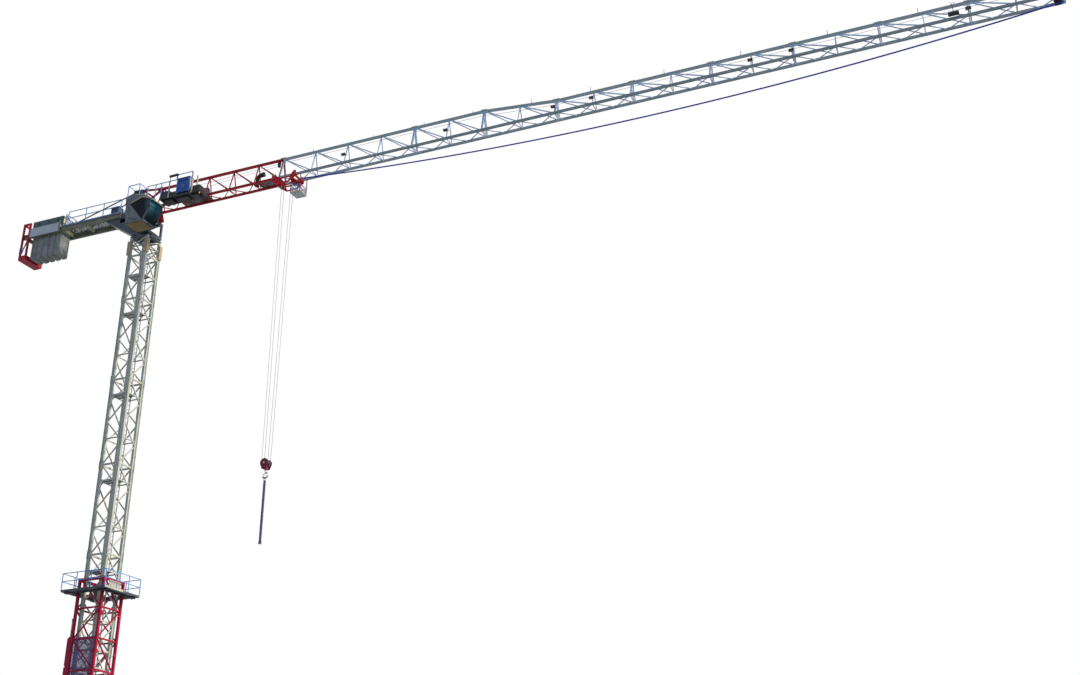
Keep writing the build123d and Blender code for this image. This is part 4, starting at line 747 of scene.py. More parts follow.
def makeCabTrim(look):
    gasket, trim, band, floor = newMeshes(4)
    near, far, wide, deep = (look[key] for key in ("near", "far", "gasket", "gasketDepth"))
    brow, chin, toe = look["front"]
    proud = deep / 2 - look["gasketProud"]
    for y in (near - proud, far + proud):
        addLoop(gasket, [cabPoint(p, y) for p in look["window"]], wide, deep, yWay)
    inner = near + look["frontInset"], far - look["frontInset"]
    for y in inner:
        addCabBar(gasket, (brow, chin), y, wide, deep, xWay)
        addCabBar(gasket, (chin, toe), y, wide, deep, xWay)
    for corner in look["front"]:
        addBar(gasket, *(cabPoint(corner, y) for y in inner), deep, wide)
    addCabBar(gasket, (chin, toe), sum(inner) / 2, look["mullion"], deep, xWay)
    makePiece("windowGaskets", gasket, "extrudedRubber", bevel=0.002)
    crown, bow, brow = look["roof"]
    half = look["trim"] / 2
    for ends in ((crown, bow), (bow, brow)):
        for y in (near + half, far - half):
            addCabBar(trim, ends, y, look["trim"], look["trimDepth"], zWay, look["trimDepth"] / 2 + 0.001)
        addCabBar(trim, ends, near - 0.004, 0.026, 0.01, lift=-0.012)
    tip = Vector(brow) + (Vector(brow) - Vector(bow)).normalized() * look["visorReach"]
    x, z = brow
    cheek = ((x - 0.06, z + 0.045), (x, z - look["visorDrop"]), (tip.x, tip.y - 0.03), tip)
    for y in (near, far - 0.02):
        addPrism(trim, [cabPoint(p, y) for p in cheek], yWay * 0.02)
    root = (bow[0] + 0.1, bow[1] - 0.058)
    sheet = [cabPoint(root, near), cabPoint(tip, near, 0.004), cabPoint(tip, far, 0.004), cabPoint(root, far)]
    addPrism(trim, sheet, zWay * 0.012)
    addBar(trim, *(cabPoint(tip, y, -0.008) for y in (near, far)), look["visorEdge"])
    makePiece("roofTrim", trim, "creamTrimPaint", bevel=0.002)
    for ends in zip(look["window"][:2], look["window"][1:3]):
        addCabBar(band, ends, near - 0.004, look["browBand"], 0.008, lift=(look["browBand"] + wide) / 2)
    low, high = look["heel"][0] + 0.03, toe[0] - 0.04
    width = (high - low) / look["floorPanels"]
    for i in range(look["floorPanels"]):
        x = low + i * width + look["seam"] / 2
        addBox(floor, (x, near + 0.03, plane - 1.094), (x + width - look["seam"], far - 0.03, plane - 1.084))
    for y in (near + 0.03, (near + far) / 2, far - 0.03):
        addBox(floor, (low, y - 0.012, plane - 1.102), (high, y + 0.012, plane - 1.084))
    makePiece("windowBrowBand", band, "tanBootPaint", bevel=0.0015)
    makePiece("cabFloorPanels", floor, "sandFloorPaint", bevel=0.0015)


def makeCabFittings(look):
    seams, fittings, cooler = newMeshes(3)
    near, seam = look["near"], look["seam"]
    brow, chin, toe = look["front"]
    addLoop(seams, [cabPoint(p, near - 0.0005) for p in look["door"]], seam, 0.003, yWay)
    for ends in ((look["heel"], toe), (toe, chin)):
        addCabBar(seams, ends, near - 0.001, 0.012, 0.006)
    addCabBar(seams, look["doorLine"], near - 0.0005, seam, 0.003)
    makePiece("cabSeams", seams, "blackSteelPaint")
    x, z, tall = look["handle"]
    addHandle(fittings, x, near, plane + z, plane + z + tall, 0.028, 0.007)
    for height in look["hinges"]:
        z = plane + height
        addTube(fittings, [(-0.075, near - 0.008, z + s * 0.035) for s in signs], 0.009, 10)
        addBox(fittings, (-0.075, near - 0.004, z - 0.025), (-0.03, near, z + 0.025))
    addTube(fittings, [cabPoint(spot, near - 0.03) for spot in look["grabBar"]], 0.008, 8)
    for spot in look["grabBar"]:
        addTube(fittings, [cabPoint(spot, near), cabPoint(spot, near - 0.03)], 0.007, 8)
    top, foot = (Vector(cabPoint(spot, look["wiperLine"])) for spot in (chin, toe))
    pivot = top + Vector((0.014, 0, 0.01))
    down = (foot - top).normalized()
    blade = pivot + down * 0.34 + Vector((0.012, 0.1, 0))
    addTurned(fittings, pivot - xWay * 0.01, Vector((1, 0, -0.4)), [(0.018, 0), (0.018, 0.014), (0.01, 0.02)], 12)
    addBar(fittings, pivot, blade, 0.01, 0.006)
    addBar(fittings, blade - down * 0.16, blade + down * 0.13, 0.012, 0.01)
    makePiece("cabFittings", fittings, "blackLampPaint", smooth=True)
    low, high = corners(look["cooler"])
    addBox(cooler, low, high)
    margin = Vector((0.02, -0.006, 0.02))
    addRibs(cooler, low + margin, high - margin, 0, look["coolerSlats"], 0.008)
    addTurned(cooler, ((low.x + high.x) / 2, (low.y + high.y) / 2, high.z), zWay, look["coolerFan"], 24)
    makePiece("roofCooler", cooler, "blackSteelPaint", bevel=0.004)


def makeCabSeat(look):
    base, cushion = newMeshes(2)
    x, y, z = look["seat"]
    z += plane
    half = look["seatHalf"]
    addTurned(base, (x, y, z), zWay, look["seatFoot"], 20)
    for s in signs:
        arm = y + s * (half + 0.035)
        addBox(base, (x - 0.04, arm - 0.035, z + 0.15), (x + 0.17, arm + 0.035, z + 0.27))
        addTurned(base, (x + 0.13, arm, z + 0.27), zWay, look["joystick"], 12)
    addPrism(base, [(x + forward, y - 0.16, z + up) for forward, up in look["pedal"]], yWay * 0.1)
    makePiece("seatFrame", base, "blackSteelPaint", bevel=0.003)
    rings = [[(x + forward, y + side * half * wide, z + level) for side, level in (
        (-1, 0.155), (-1, top - 0.012), (-0.6, top), (0, top - 0.008), (0.6, top), (1, top - 0.012), (1, 0.155))]
        for forward, top, wide in look["seatShape"]]
    joinRings(cushion, rings)
    rings = [[(x + rear + front, y + side * half * 0.92, z + level) for side, front in (
        (-1, 0), (-1, thick * 0.8), (-0.5, thick), (0, thick * 0.86), (0.5, thick), (1, thick * 0.8), (1, 0))]
        for rear, level, thick in look["backShape"]]
    joinRings(cushion, rings)
    piece = makePiece("seatCushion", cushion, "wovenSeatCover", smooth=True)
    rounded = piece.modifiers.new("rounded", "SUBSURF")
    rounded.levels = rounded.render_levels = 2


makeCabTrim(cab)
makeCabFittings(cab)
makeCabSeat(cab)
print("cab fittings made")


# Counter-jib deck: the switch box, the white resistor grids, and the two slewing motors on their base

deckGear = {
    "box": ((-1.46, -0.3, 0.05), (-1.14, -0.06, 0.33)), "doorGap": 0.006, "louvres": 7, "footLevel": 0.016,
    "grid": ((-1.52, 0.04, 0.02), (-1.1, 0.3, 0.34)), "gridSlats": 12, "gridBar": 0.014,
    "motors": ((0.0, 0.29), (0.0, -0.29)), "motorBase": 23.8603, "fins": 16,
    "motorShape": [(0.062, 0), (0.062, 0.012), (0.046, 0.016), (0.046, 0.1), (0.056, 0.104), (0.056, 0.116),
                   (0.042, 0.122), (0.042, 0.24), (0.048, 0.244), (0.048, 0.27), (0.03, 0.29)],
}


def makeDeckGear(look):
    box, metal, white, motor = newMeshes(4)
    low, high = corners(look["box"])
    addBox(box, low, high)
    middle = (low.x + high.x) / 2
    gap = look["doorGap"] / 2
    for start, end in ((low.x + 0.02, middle - gap), (middle + gap, high.x - 0.02)):
        addBox(box, (start, low.y - 0.01, low.z + 0.03), (end, low.y, high.z - 0.03))
        louvres = (start + 0.04, low.y - 0.016, low.z + 0.07), (end - 0.04, low.y - 0.008, low.z + 0.17)
        addRibs(box, *louvres, 2, look["louvres"], 0.005)
    addBox(box, (low.x - 0.015, low.y - 0.02, high.z), (high.x + 0.015, high.y + 0.015, high.z + 0.012))
    makePiece("switchBox", box, "slatePaintAndPaintedShade", bevel=0.003)
    foot = plane + look["footLevel"]
    for x in (low.x + 0.05, high.x - 0.05):
        for y in (low.y + 0.04, high.y - 0.04):
            addBox(metal, (x - 0.02, y - 0.02, foot), (x + 0.02, y + 0.02, low.z))
    for x in (middle - 0.03, middle + 0.03):
        addHandle(metal, x, low.y - 0.01, low.z + 0.22, low.z + 0.3, 0.02, 0.005)
    low, high = corners(look["grid"])
    bar = look["gridBar"]
    for z in (low.z + 0.01, high.z):
        addLoop(metal, rectangle((low.x, low.y, z), (high.x, high.y, z)), bar, bar, zWay)
    for x in (low.x, high.x):
        for y in (low.y, high.y):
            addBar(metal, (x, y, foot), (x, y, high.z), bar)
    makePiece("deckGearMetal", metal, "hotDippedZinc", smooth=True)
    margin = Vector((0.01, 0.01, 0.02))
    addRibs(white, low + margin, high - margin, 0, look["gridSlats"], 0.006)
    addBox(white, (low.x + 0.01, low.y + 0.1, low.z + 0.03), (high.x - 0.01, low.y + 0.13, high.z - 0.03))
    makePiece("resistorGrid", white, "whitePanelPaint")
    for x, y in look["motors"]:
        addTurned(motor, (x, y, look["motorBase"]), zWay, look["motorShape"], 20)
        for spoke in spokes(look["fins"]):
            root = Vector((x, y, look["motorBase"] + 0.18)) + spoke * 0.04
            addBar(motor, root, root + spoke * 0.011, 0.004, 0.1)
    makePiece("slewingMotors", motor, "blackSteelPaint", smooth=True)


makeDeckGear(deckGear)
print("deck gear made")


# The cabinet tray beside the jib root: boxes, cabinet doors, vents, the bar lamp, posts and the orange lamp

tray = {
    "boxes": (((1.02, -0.72, -0.02), (1.34, -0.36, 0.19)), ((1.36, -0.7, -0.02), (1.64, -0.42, 0.1)),
              ((2.24, -0.7, -0.02), (2.58, -0.36, 0.16)), ((1.08, -0.7, -0.23), (1.5, -0.4, -0.152)),
              ((1.62, -0.66, -0.2), (2.1, -0.38, -0.152)), ((2.24, -0.68, -0.22), (2.52, -0.42, -0.152))),
    "posts": (((1.335, -0.775, -0.15), (1.385, -0.745, 0.54)), ((2.285, -0.775, -0.15), (2.325, -0.74, 0.7)),
              ((2.36, -0.6, -0.02), (2.4, -0.56, 0.62))),
    "bearers": (1.12, 1.46, 1.8, 2.14, 2.48), "bearerHalf": 0.015, "bearerY": (-0.77, -0.29),
    "bearerZ": (-0.165, -0.15), "cabinet": ((1.68, -0.75, -0.14), (2.18, -0.53, 0.54)), "vents": 8,
    "barLamp": ((1.33, -0.795, 0.68), (1.7, -0.735, 0.75)), "lampStand": (-0.766, 0.5),
    "orange": (2.6, -0.7, -0.155), "cableX": (0.62, 2.6), "cableRadius": 0.007,
    "cables": ((-0.31, -0.06), (-0.325, -0.085), (-0.31, -0.11)),
    "orangeDome": [(0.03, 0), (0.03, 0.012), (0.026, 0.016), (0.026, 0.055), (0.014, 0.07)],
}


def makeTray(look):
    dark, cream, doors, grey, lamp, lens, runs = newMeshes(7)
    for pair in look["boxes"]:
        low, high = corners(pair)
        addBox(dark, low, high)
        addBox(dark, (low.x + 0.02, low.y - 0.006, low.z + 0.015), (high.x - 0.02, low.y, high.z - 0.015))
    half = look["bearerHalf"]
    for x in look["bearers"]:
        addBox(dark, *corners([(x + s * half, y, z) for s, y, z in zip(signs, look["bearerY"], look["bearerZ"])]))
    makePiece("trayBoxes", dark, "blackSteelPaint", bevel=0.003)
    for pair in look["posts"]:
        low, high = corners(pair)
        addBox(cream, low, high)
        addBox(cream, (low.x - 0.012, low.y - 0.004, low.z), (high.x + 0.012, high.y + 0.004, low.z + 0.012))
    makePiece("trayPosts", cream, "creamTrimPaint", bevel=0.002)
    low, high = corners(look["cabinet"])
    middle = (low.x + high.x) / 2
    for start, end in ((low.x + 0.012, middle - 0.004), (middle + 0.004, high.x - 0.012)):
        addBox(doors, (start, low.y - 0.01, low.z + 0.05), (end, low.y, high.z - 0.02))
        vents = (start + 0.05, low.y - 0.018, high.z - 0.14), (end - 0.05, low.y - 0.006, high.z - 0.06)
        addRibs(doors, *vents, 2, look["vents"], 0.004)
        y = low.y - 0.011
        seal = rectangle((start + 0.03, y, low.z + 0.08), (end - 0.03, y, high.z - 0.18))
        addLoop(doors, seal, 0.008, 0.004, yWay)
    addBox(doors, (low.x - 0.012, low.y - 0.02, high.z), (high.x + 0.012, high.y + 0.012, high.z + 0.014))
    makePiece("cabinetDoors", doors, "blueCabinetPaint", bevel=0.002)
    addBox(grey, (high.x, low.y + 0.02, low.z + 0.04), (high.x + 0.008, high.y - 0.02, high.z - 0.03))
    vents = (high.x + 0.004, low.y + 0.05, low.z + 0.12), (high.x + 0.014, high.y - 0.05, low.z + 0.3)
    addRibs(grey, *vents, 2, 10, 0.006)
    for s in signs:
        addHandle(grey, middle + s * 0.028, low.y - 0.01, low.z + 0.3, low.z + 0.42, 0.022, 0.006, 0.01)
    for x in (low.x + 0.02, high.x - 0.02):
        for z in (low.z + 0.14, high.z - 0.12):
            addTube(grey, [(x, low.y - 0.014, z + s * 0.025) for s in signs], 0.006)
    makePiece("cabinetFittings", grey, "hotDippedZinc", smooth=True)
    low, high = corners(look["barLamp"])
    addBox(lamp, low, high)
    y, foot = look["lampStand"]
    for x in (low.x + 0.05, high.x - 0.05):
        addBar(lamp, (x, y, plane + foot), (x, y, low.z), 0.016)
    low, high = (low.x + 0.01, high.y, low.z + 0.008), (high.x - 0.01, high.y + 0.014, high.z - 0.008)
    addRibs(lamp, low, high, 0, 14, 0.006)
    makePiece("barLamp", lamp, "blackLampPaint", bevel=0.003)
    x, y, z = look["orange"]
    addTurned(lens, (x, y, plane + z), -zWay, look["orangeDome"], 16)
    makePiece("orangeLamp", lens, "mouldedOrangeLens", smooth=True)
    for y, z in look["cables"]:
        ends = [(x, y, plane + z) for x in look["cableX"]]
        addTube(runs, pointsBetween(*ends, 8, 0.008), look["cableRadius"])
    makePiece("trayCables", runs, "extrudedRubber", smooth=True)


makeTray(tray)
print("tray made")


# Maintenance basket: grating floor with a cream edge, white mesh sides in a blue rail, red posts

basket = {
    "low": (5.931, -0.21, 24.18), "high": (6.311, 0.21, 24.47), "floor": 0.012, "floorPitches": (0.024, 0.03),
    "floorBar": 0.004, "edge": 0.035, "edgeThick": 0.006, "meshPitch": 0.034, "wire": 0.0035, "rail": 0.02,
    "post": 0.024, "postTops": ((5.94, 24.777), (6.302, 24.819)), "postLine": 0.201, "bolt": 0.008,
}


def makeBasket(look):
    floor, edge, wires, rails, posts = newMeshes(5)
    low, high = corners((look["low"], look["high"]), 0)
    corner, farCorner = low + Vector((0.01, 0.01, 0)), high - Vector((0.01, 0.01, 0))
    farCorner.z = low.z + look["floor"]
    addGrating(floor, corner, farCorner, look["floorPitches"], look["floor"], look["floorBar"])
    addBox(floor, (low.x + 0.02, low.y + 0.02, low.z + 0.001), (high.x - 0.02, high.y - 0.02, low.z + 0.004))
    makePiece("basketFloor", floor, "hotDippedZinc", "trolley", "maintenance_basket")

    def ringAt(level, inset):
        return rectangle((low.x, low.y, level), (high.x, high.y, level), inset)

    thick = look["edgeThick"]
    addLoop(edge, ringAt(low.z + look["edge"] / 2, thick / 2), thick, look["edge"], zWay)
    makePiece("basketEdge", edge, "creamTrimPaint", "trolley")
    rail, pitch = look["rail"], look["meshPitch"]
    ring = ringAt(0, rail / 2)
    rise = zWay * (low.z + 0.01)
    for a, b in zip(ring, ring[1:] + ring[:1]):
        length = (b - a).length
        for i in range(1, round(length / pitch)):
            spot = a.lerp(b, i * pitch / length)
            addBar(wires, spot + rise, spot + zWay * high.z, look["wire"])
        for i in range(1, round((high.z - low.z) / pitch)):
            level = zWay * (low.z + i * pitch)
            addBar(wires, a + level, b + level, look["wire"])
    makePiece("basketMesh", wires, "whitePanelPaint", "trolley")
    for z in (high.z - rail / 2, (low.z + high.z) / 2):
        addLoop(rails, ringAt(z, rail / 2), rail, rail, zWay)
    for spot in ring:
        addBar(rails, spot + rise, spot + zWay * high.z, rail)
    makePiece("basketRails", rails, "blueRailPaint", "trolley", bevel=0.002)
    for x, top in look["postTops"]:
        for s in signs:
            y = s * look["postLine"]
            addBar(posts, (x, y, low.z + 0.012), (x, y, top), look["post"], up=yWay)
            for z in (high.z - 0.02, low.z + 0.05):
                addBolt(posts, (x, y + s * look["post"] / 2, z), yWay * s, look["bolt"])
    makePiece("basketPosts", posts, "paintedSunlitRedPaint", "trolley", bevel=0.002)


makeBasket(basket)
print("basket made")


# Trolley: wheel hubs and bolts, and the guards of the sheaves

trolley = {
    "centre": 5.675, "wheelX": 0.38, "wheelZ": 24.975, "wheelFace": 0.277, "sheaveX": 0.265, "sheaveZ": 24.68,
    "sheaveY": 0.075, "hubBolt": 0.0190919, "guardRadius": 0.092,
    "guardTurns": (20, 37.5, 55, 72.5, 90, 107.5, 125, 142.5, 160),
    "wheelHub": [(0.034, 0), (0.034, 0.006), (0.02, 0.01), (0.02, 0.02), (0.012, 0.024)],
}


def makeTrolley(look):
    hubs, guards = newMeshes(2)
    for s, t in quarters:
        x, z = look["centre"] + s * look["wheelX"], look["wheelZ"]
        place = Vector((x, t * look["wheelFace"], z))
        addTurned(hubs, place, yWay * t, look["wheelHub"], 18)
        for a, b in quarters:
            addBolt(hubs, place + Vector((a * look["hubBolt"], t * 0.006, b * look["hubBolt"])), yWay * t, 0.005)
        for step in (-0.05, 0.05):
            addBolt(hubs, place + Vector((step, 0, -0.1)), yWay * t, 0.008)
        centre = Vector((look["centre"] + s * look["sheaveX"], t * look["sheaveY"], look["sheaveZ"]))
        turns = [math.radians(turn) for turn in look["guardTurns"]]
        arc = [centre + Vector((math.cos(turn), 0, math.sin(turn))) * look["guardRadius"] for turn in turns]
        addTube(guards, arc, 0.005, 6)
        addTurned(guards, centre + yWay * t * 0.017, yWay * t, [(0.026, 0), (0.026, 0.008), (0.014, 0.012)], 14)
    makePiece("trolleyHubs", hubs, "turnedGreasedSteel", "trolley", smooth=True)
    makePiece("sheaveGuards", guards, "darkRedPaint", "trolley", smooth=True)


makeTrolley(trolley)
print("trolley detail made")


# Winch housing with ribs and louvres, bare side panel in its frame, rods of the slabs, step of the end frame

housing = {
    "box": ((-4.98, -0.28, 0.12), (-3.62, 0.28, 0.52)), "ribs": 9, "proud": 0.008,
    "panel": ((-4.94, -0.416, -0.175), (-3.64, -0.4, 0.175)), "frameWidth": 0.018, "frameDepth": 0.006,
    "rivets": 13, "rivetPitch": 0.1, "panelPost": ((-3.655, -0.422, -0.19), (-3.6, -0.385, 0.26)),
    "brackets": (-4.9, -4.5, -4.1, -3.7), "bracketZ": ((-0.1, -0.06), (0.08, 0.115)),
    "rods": ((-0.15, -0.86), (0.15, -0.86), (-0.15, -0.3), (0.15, -0.3)), "rodX": (-4.975, -3.62),
    "rodRadius": 0.0112, "step": (-5.285, -0.437, -0.8), "stepWide": (0.01, 0.17), "rungs": 3,
    "rungGap": 0.075, "stepRoot": -0.42,
    "rivet": [(0.005, 0), (0.004, 0.002), (0.002, 0.003)],
}


def makeHousing(look):
    ribs, sheet, dark = newMeshes(3)
    low, high = corners(look["box"])
    proud, count = look["proud"], look["ribs"]
    for y in (low.y - proud, high.y):
        addRibs(ribs, (low.x, y, low.z + 0.01), (high.x, y + proud, high.z - 0.01), 0, count, 0.016)
        for z in (low.z + 0.012, high.z - 0.012):
            addBar(ribs, (low.x, y + proud / 2, z), (high.x, y + proud / 2, z), 0.024, proud, yWay)
    seams = (low.x + 0.02, low.y + 0.01, high.z), (high.x - 0.02, high.y - 0.01, high.z + proud)
    addRibs(ribs, *seams, 0, count, 0.02)
    end = rectangle((high.x + 0.004, low.y, low.z), (high.x + 0.004, high.y, high.z), 0.02)
    addLoop(ribs, end, 0.022, 0.01, xWay)
    makePiece("housingRibs", ribs, "tealHousingPaint", bevel=0.002)
    addBox(sheet, (high.x, low.y + 0.025, low.z + 0.025), (high.x + 0.006, high.y - 0.025, high.z - 0.025))
    vents = (high.x + 0.006, low.y + 0.08, low.z + 0.06), (high.x + 0.012, high.y - 0.08, low.z + 0.16)
    addRibs(sheet, *vents, 2, 5, 0.01)
    makePiece("housingEndSheet", sheet, "creamTrimPaint", bevel=0.002)
    pitch = (high.x - low.x) / count
    for i in (2, 5, 8):
        addHandle(dark, low.x + pitch * i, low.y, low.z + 0.2, low.z + 0.3, 0.026, 0.006, 0.01)
    for i in (1, 4, 7):
        x = low.x + pitch * (i + 0.2)
        addRibs(dark, (x, low.y - 0.004, high.z - 0.15), (x + 0.1, low.y + 0.002, high.z - 0.06), 2, 6, 0.006)
    for x in (low.x + 0.1, high.x - 0.1):
        for y in (low.y + 0.06, high.y - 0.06):
            eye = ((-0.03, 0), (-0.03, 0.03), (0, 0.048), (0.03, 0.03), (0.03, 0))
            addTube(dark, [(x + step, y, high.z + rise) for step, rise in eye], 0.006)
    makePiece("housingFittings", dark, "blackSteelPaint", smooth=True)


def makeSidePanel(look):
    edge, post = newMeshes(2)
    low, high = corners(look["panel"])
    width, depth = look["frameWidth"], look["frameDepth"]
    y = low.y - depth / 2
    addLoop(edge, rectangle((low.x, y, low.z), (high.x, y, high.z), width / 2), width, depth, yWay)
    for i in range(look["rivets"]):
        for z in (low.z + width / 2, high.z - width / 2):
            addTurned(edge, (low.x + (i + 0.5) * look["rivetPitch"], y - depth / 2, z), -yWay, look["rivet"], 8)
    makePiece("panelFrame", edge, "whitePanelPaint")
    addBox(post, *corners(look["panelPost"]))
    for x in look["brackets"]:
        for foot, top in look["bracketZ"]:
            addBox(post, (x - 0.02, -0.402, plane + foot), (x + 0.02, -0.33, plane + top))
    makePiece("panelBrackets", post, "oliveGirderPaint", bevel=0.002)


def makeSlabRodsAndStep(look):
    rods, step = newMeshes(2)
    start, end = look["rodX"]
    for y, z in look["rods"]:
        z += plane
        addTube(rods, [(start, y, z), (end, y, z)], look["rodRadius"], 10)
        addBox(rods, (end - 0.002, y - 0.05, z - 0.05), (end + 0.01, y + 0.05, z + 0.05))
        addBolt(rods, (end + 0.01, y, z), xWay, 0.024)
    makePiece("slabTieRods", rods, "hotDippedZinc")
    x, y, foot = look["step"]
    foot += plane
    top = foot + look["rungGap"] * look["rungs"]
    sides = [x + wide for wide in look["stepWide"]]
    for i in range(look["rungs"]):
        level = foot + look["rungGap"] * (i + 0.5)
        addBar(step, *((side, y, level) for side in sides), 0.02, 0.012)
    for side in sides:
        addBar(step, (side, y, foot), (side, y, top), 0.012, up=yWay)
        for level in (foot + 0.02, top - 0.02):
            addBar(step, (side, y, level), (side, look["stepRoot"], level), 0.01)
    makePiece("endFrameStep", step, "blueRailPaint")


makeHousing(housing)
makeSidePanel(housing)
makeSlabRodsAndStep(housing)
print("winch housing, panel and slabs made")


# Floodlights: a yoke, a ribbed black head and its glass at each; the root lamp stands on a bent column

lamps = {
    "places": ((2, 0), (5, 0), (8, 1), (9, 0), (13, 0), (14, 1), (18, 1)), "start": 5.46, "pitch": 1.25,
    "shift": 0.022, "half": 0.22, "depth": (0.845, 0.585), "taper": (12.96, 15.46), "rise": 0.29,
    "arm": 0.06, "head": 0.11, "headSize": 0.1012, "tilt": 38, "yokeHalf": 0.086, "webHalf": 0.015,
    "column": (4.44, 0.0), "columnTop": 0.4, "columnRadius": 0.064,
    # How far along the jib, how high and how thick
    "columnPath": ((0, -0.1, 1), (0.03, -0.03, 1.1), (0.09, 0.015, 1.15), (0.19, 0.035, 1.3), (0.27, 0.035, 1.35)),
    "columnFoot": [(0.09, 0), (0.09, 0.008), (0.05, 0.012), (0.046, 0.03)],
    "lampShape": ((-0.5, 0.288), (-0.3, 0.36), (0.3, 0.5), (0.42, 0.5), (0.42, 0.43), (0.34, 0.42)),
}


def jibDepth(x, look):
    (deep, shallow), (start, end) = look["depth"], look["taper"]
    return deep + (shallow - deep) * min(max((x - start) / (end - start), 0), 1)


def addLampHead(mesh, lens, centre, look):
    # A tapered head that looks outward and down, with ribs behind and a glass in front
    size = look["headSize"]
    turn = Matrix.Rotation(math.radians(look["tilt"]), 3, "X")
    out, over = turn @ -yWay, turn @ zWay
    wide, tall = xWay * size * 1.5, over * size * 0.86
    joinRings(mesh, [[centre + out * size * reach + (wide * a + tall * b) * half for a, b in outline]
                     for reach, half in look["lampShape"]])
    for i in range(-2, 3):
        start = centre - out * size * 0.5 + xWay * size * i * 0.1296
        addBar(mesh, start, start - out * size * 0.1, 0.004, size * 0.468, over)
    middle = centre + out * size * 0.37
    addBar(lens, middle - out * 0.002, middle + out * 0.002, size * 1.225, size * 0.7, over)


def makeLamps(look):
    heads, lens, yokes = newMeshes(3)
    for k, shifted in look["places"]:
        x = look["start"] + look["pitch"] * k - look["shift"] * shifted
        depth = jibDepth(x, look)
        rise = look["rise"] * depth / look["depth"][0]
        lean = look["half"] / depth
        face = -(look["half"] - (rise - 0.01) * lean) - look["webHalf"] * math.sqrt(1 + lean ** 2)
        root = Vector((x, face - 0.0003, plane + rise))
        centre = root - yWay * (look["arm"] + look["head"] / 2)
        arm = root - yWay * look["arm"] / 2
        addBar(yokes, root, arm, 0.024, 0.018)
        for s in signs:
            side = xWay * s * look["yokeHalf"]
            addBar(yokes, arm + side, centre + side, 0.004, 0.018)
            addBolt(yokes, centre + side, xWay * s, 0.007)
        cross = xWay * (look["yokeHalf"] + 0.002)
        addBar(yokes, arm - cross, arm + cross, 0.004, 0.018)
        addLampHead(heads, lens, centre, look)
    x, y = look["column"]
    radius = look["columnRadius"]
    foot, top = (x, y, plane + 0.026), plane + look["columnTop"]
    path = [(x + reach, y, top + rise) for reach, rise, _ in look["columnPath"]]
    addTube(heads, [foot] + path, [radius] + [radius * wide for _, _, wide in look["columnPath"]], 14)
    addTurned(heads, foot, zWay, look["columnFoot"], 16)
    addTurned(lens, path[-1], xWay, [(radius * 1.2, 0), (radius * 1.1, 0.006)], 16)
    makePiece("lampHeads", heads, "blackLampPaint", standsFor="floodlights", bevel=0.002)
    makePiece("lampGlasses", lens, "pressedLampGlass")
    makePiece("lampYokes", yokes, "hotDippedZinc")


makeLamps(lamps)
print("floodlights made")


# Hook block and sling: side bolts, safety latch, and real links in place of the plain legs

sling = {
    "x": 5.675, "links": 52, "wire": 0.0062, "linkLength": 0.0475, "linkWidth": 0.021, "masterRadius": 0.06,
    "masterWire": 0.009, "endRadius": 0.034, "endWire": 0.008, "legGap": 0.019, "legLength": 1.9,
    "hookTop": 14.54, "hookCentre": 14.348, "hookRadius": 0.088, "cheek": 0.118, "blockZ": 14.73,
    "blockBolts": ((-0.085, 0), (0.085, 0), (0, 0.075), (-0.045, -0.13), (0.045, -0.13)),
    "hookNut": [(0.034, 0), (0.036, 0.003), (0.036, 0.009), (0.03, 0.012)],
}


def addLink(mesh, centre, length, width, wire, way, rounds=5, sides=6):
    # One stadium-shaped link, standing in the plane of Z and the given way
    points = []
    for sign in (1, -1):
        for k in range(rounds + 1):
            angle = math.pi * k / rounds
            along = sign * ((length - width) / 2 + math.sin(angle) * width / 2)
            points.append(Vector(centre) + way * (sign * math.cos(angle) * width / 2) + zWay * along)
    addTube(mesh, points, wire, sides, closed=True)


def makeSling(look):
    chain, latch, plates = newMeshes(3)
    x, master, end = look["x"], look["masterRadius"], look["endRadius"]
    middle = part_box("chain_sling")[1][2] - master - look["masterWire"]
    addLink(chain, (x, 0, middle), 2 * master, 1.7 * master, look["masterWire"], yWay, 12, 10)
    top = middle - master
    pitch = look["legLength"] / look["links"]
    for s, t in quarters:
        spot = Vector((x + s * look["legGap"], t * look["legGap"], top))
        for i in range(look["links"]):
            addLink(chain, spot - zWay * ((i + 0.5) * pitch), look["linkLength"], look["linkWidth"], look["wire"],
                    yWay if i % 2 else xWay)
        addLink(chain, spot - zWay * (look["legLength"] + end), 2 * end, 1.5 * end, look["endWire"], xWay, 10, 10)
    makePiece("slingLinks", chain, "oiledChainSteel", "swivel_hook", "chain_sling", smooth=True)
    reach = look["hookRadius"] * 0.86
    pivot = Vector((x + 0.012, 0, look["hookCentre"] + reach))
    tip = Vector((x - reach, 0, look["hookCentre"] + 0.012))
    for y in (-0.015, 0.015):
        addBar(latch, pivot + yWay * y, tip + yWay * y, 0.003, 0.018)
    addTube(latch, [pivot - yWay * 0.019, pivot + yWay * 0.019], 0.005)
    addTurned(latch, (x, 0, look["hookTop"] - 0.032), zWay, look["hookNut"], 6)
    makePiece("hookLatch", latch, "hotDippedZinc", "swivel_hook", smooth=True)
    for s in signs:
        centre = Vector((x, s * look["cheek"], look["blockZ"]))
        for aside, rise in look["blockBolts"]:
            addBolt(plates, centre + Vector((aside, 0, rise)), yWay * s, 0.008)
        addTurned(plates, centre, yWay * s, [(0.034, 0), (0.034, 0.007), (0.02, 0.012)], 18)
    makePiece("blockBolts", plates, "hotDippedZinc", "block", smooth=True)


makeSling(sling)
print("hook and sling made")


# Jib tip: the block at the end, the wind gauge under the top chord, the red lamp

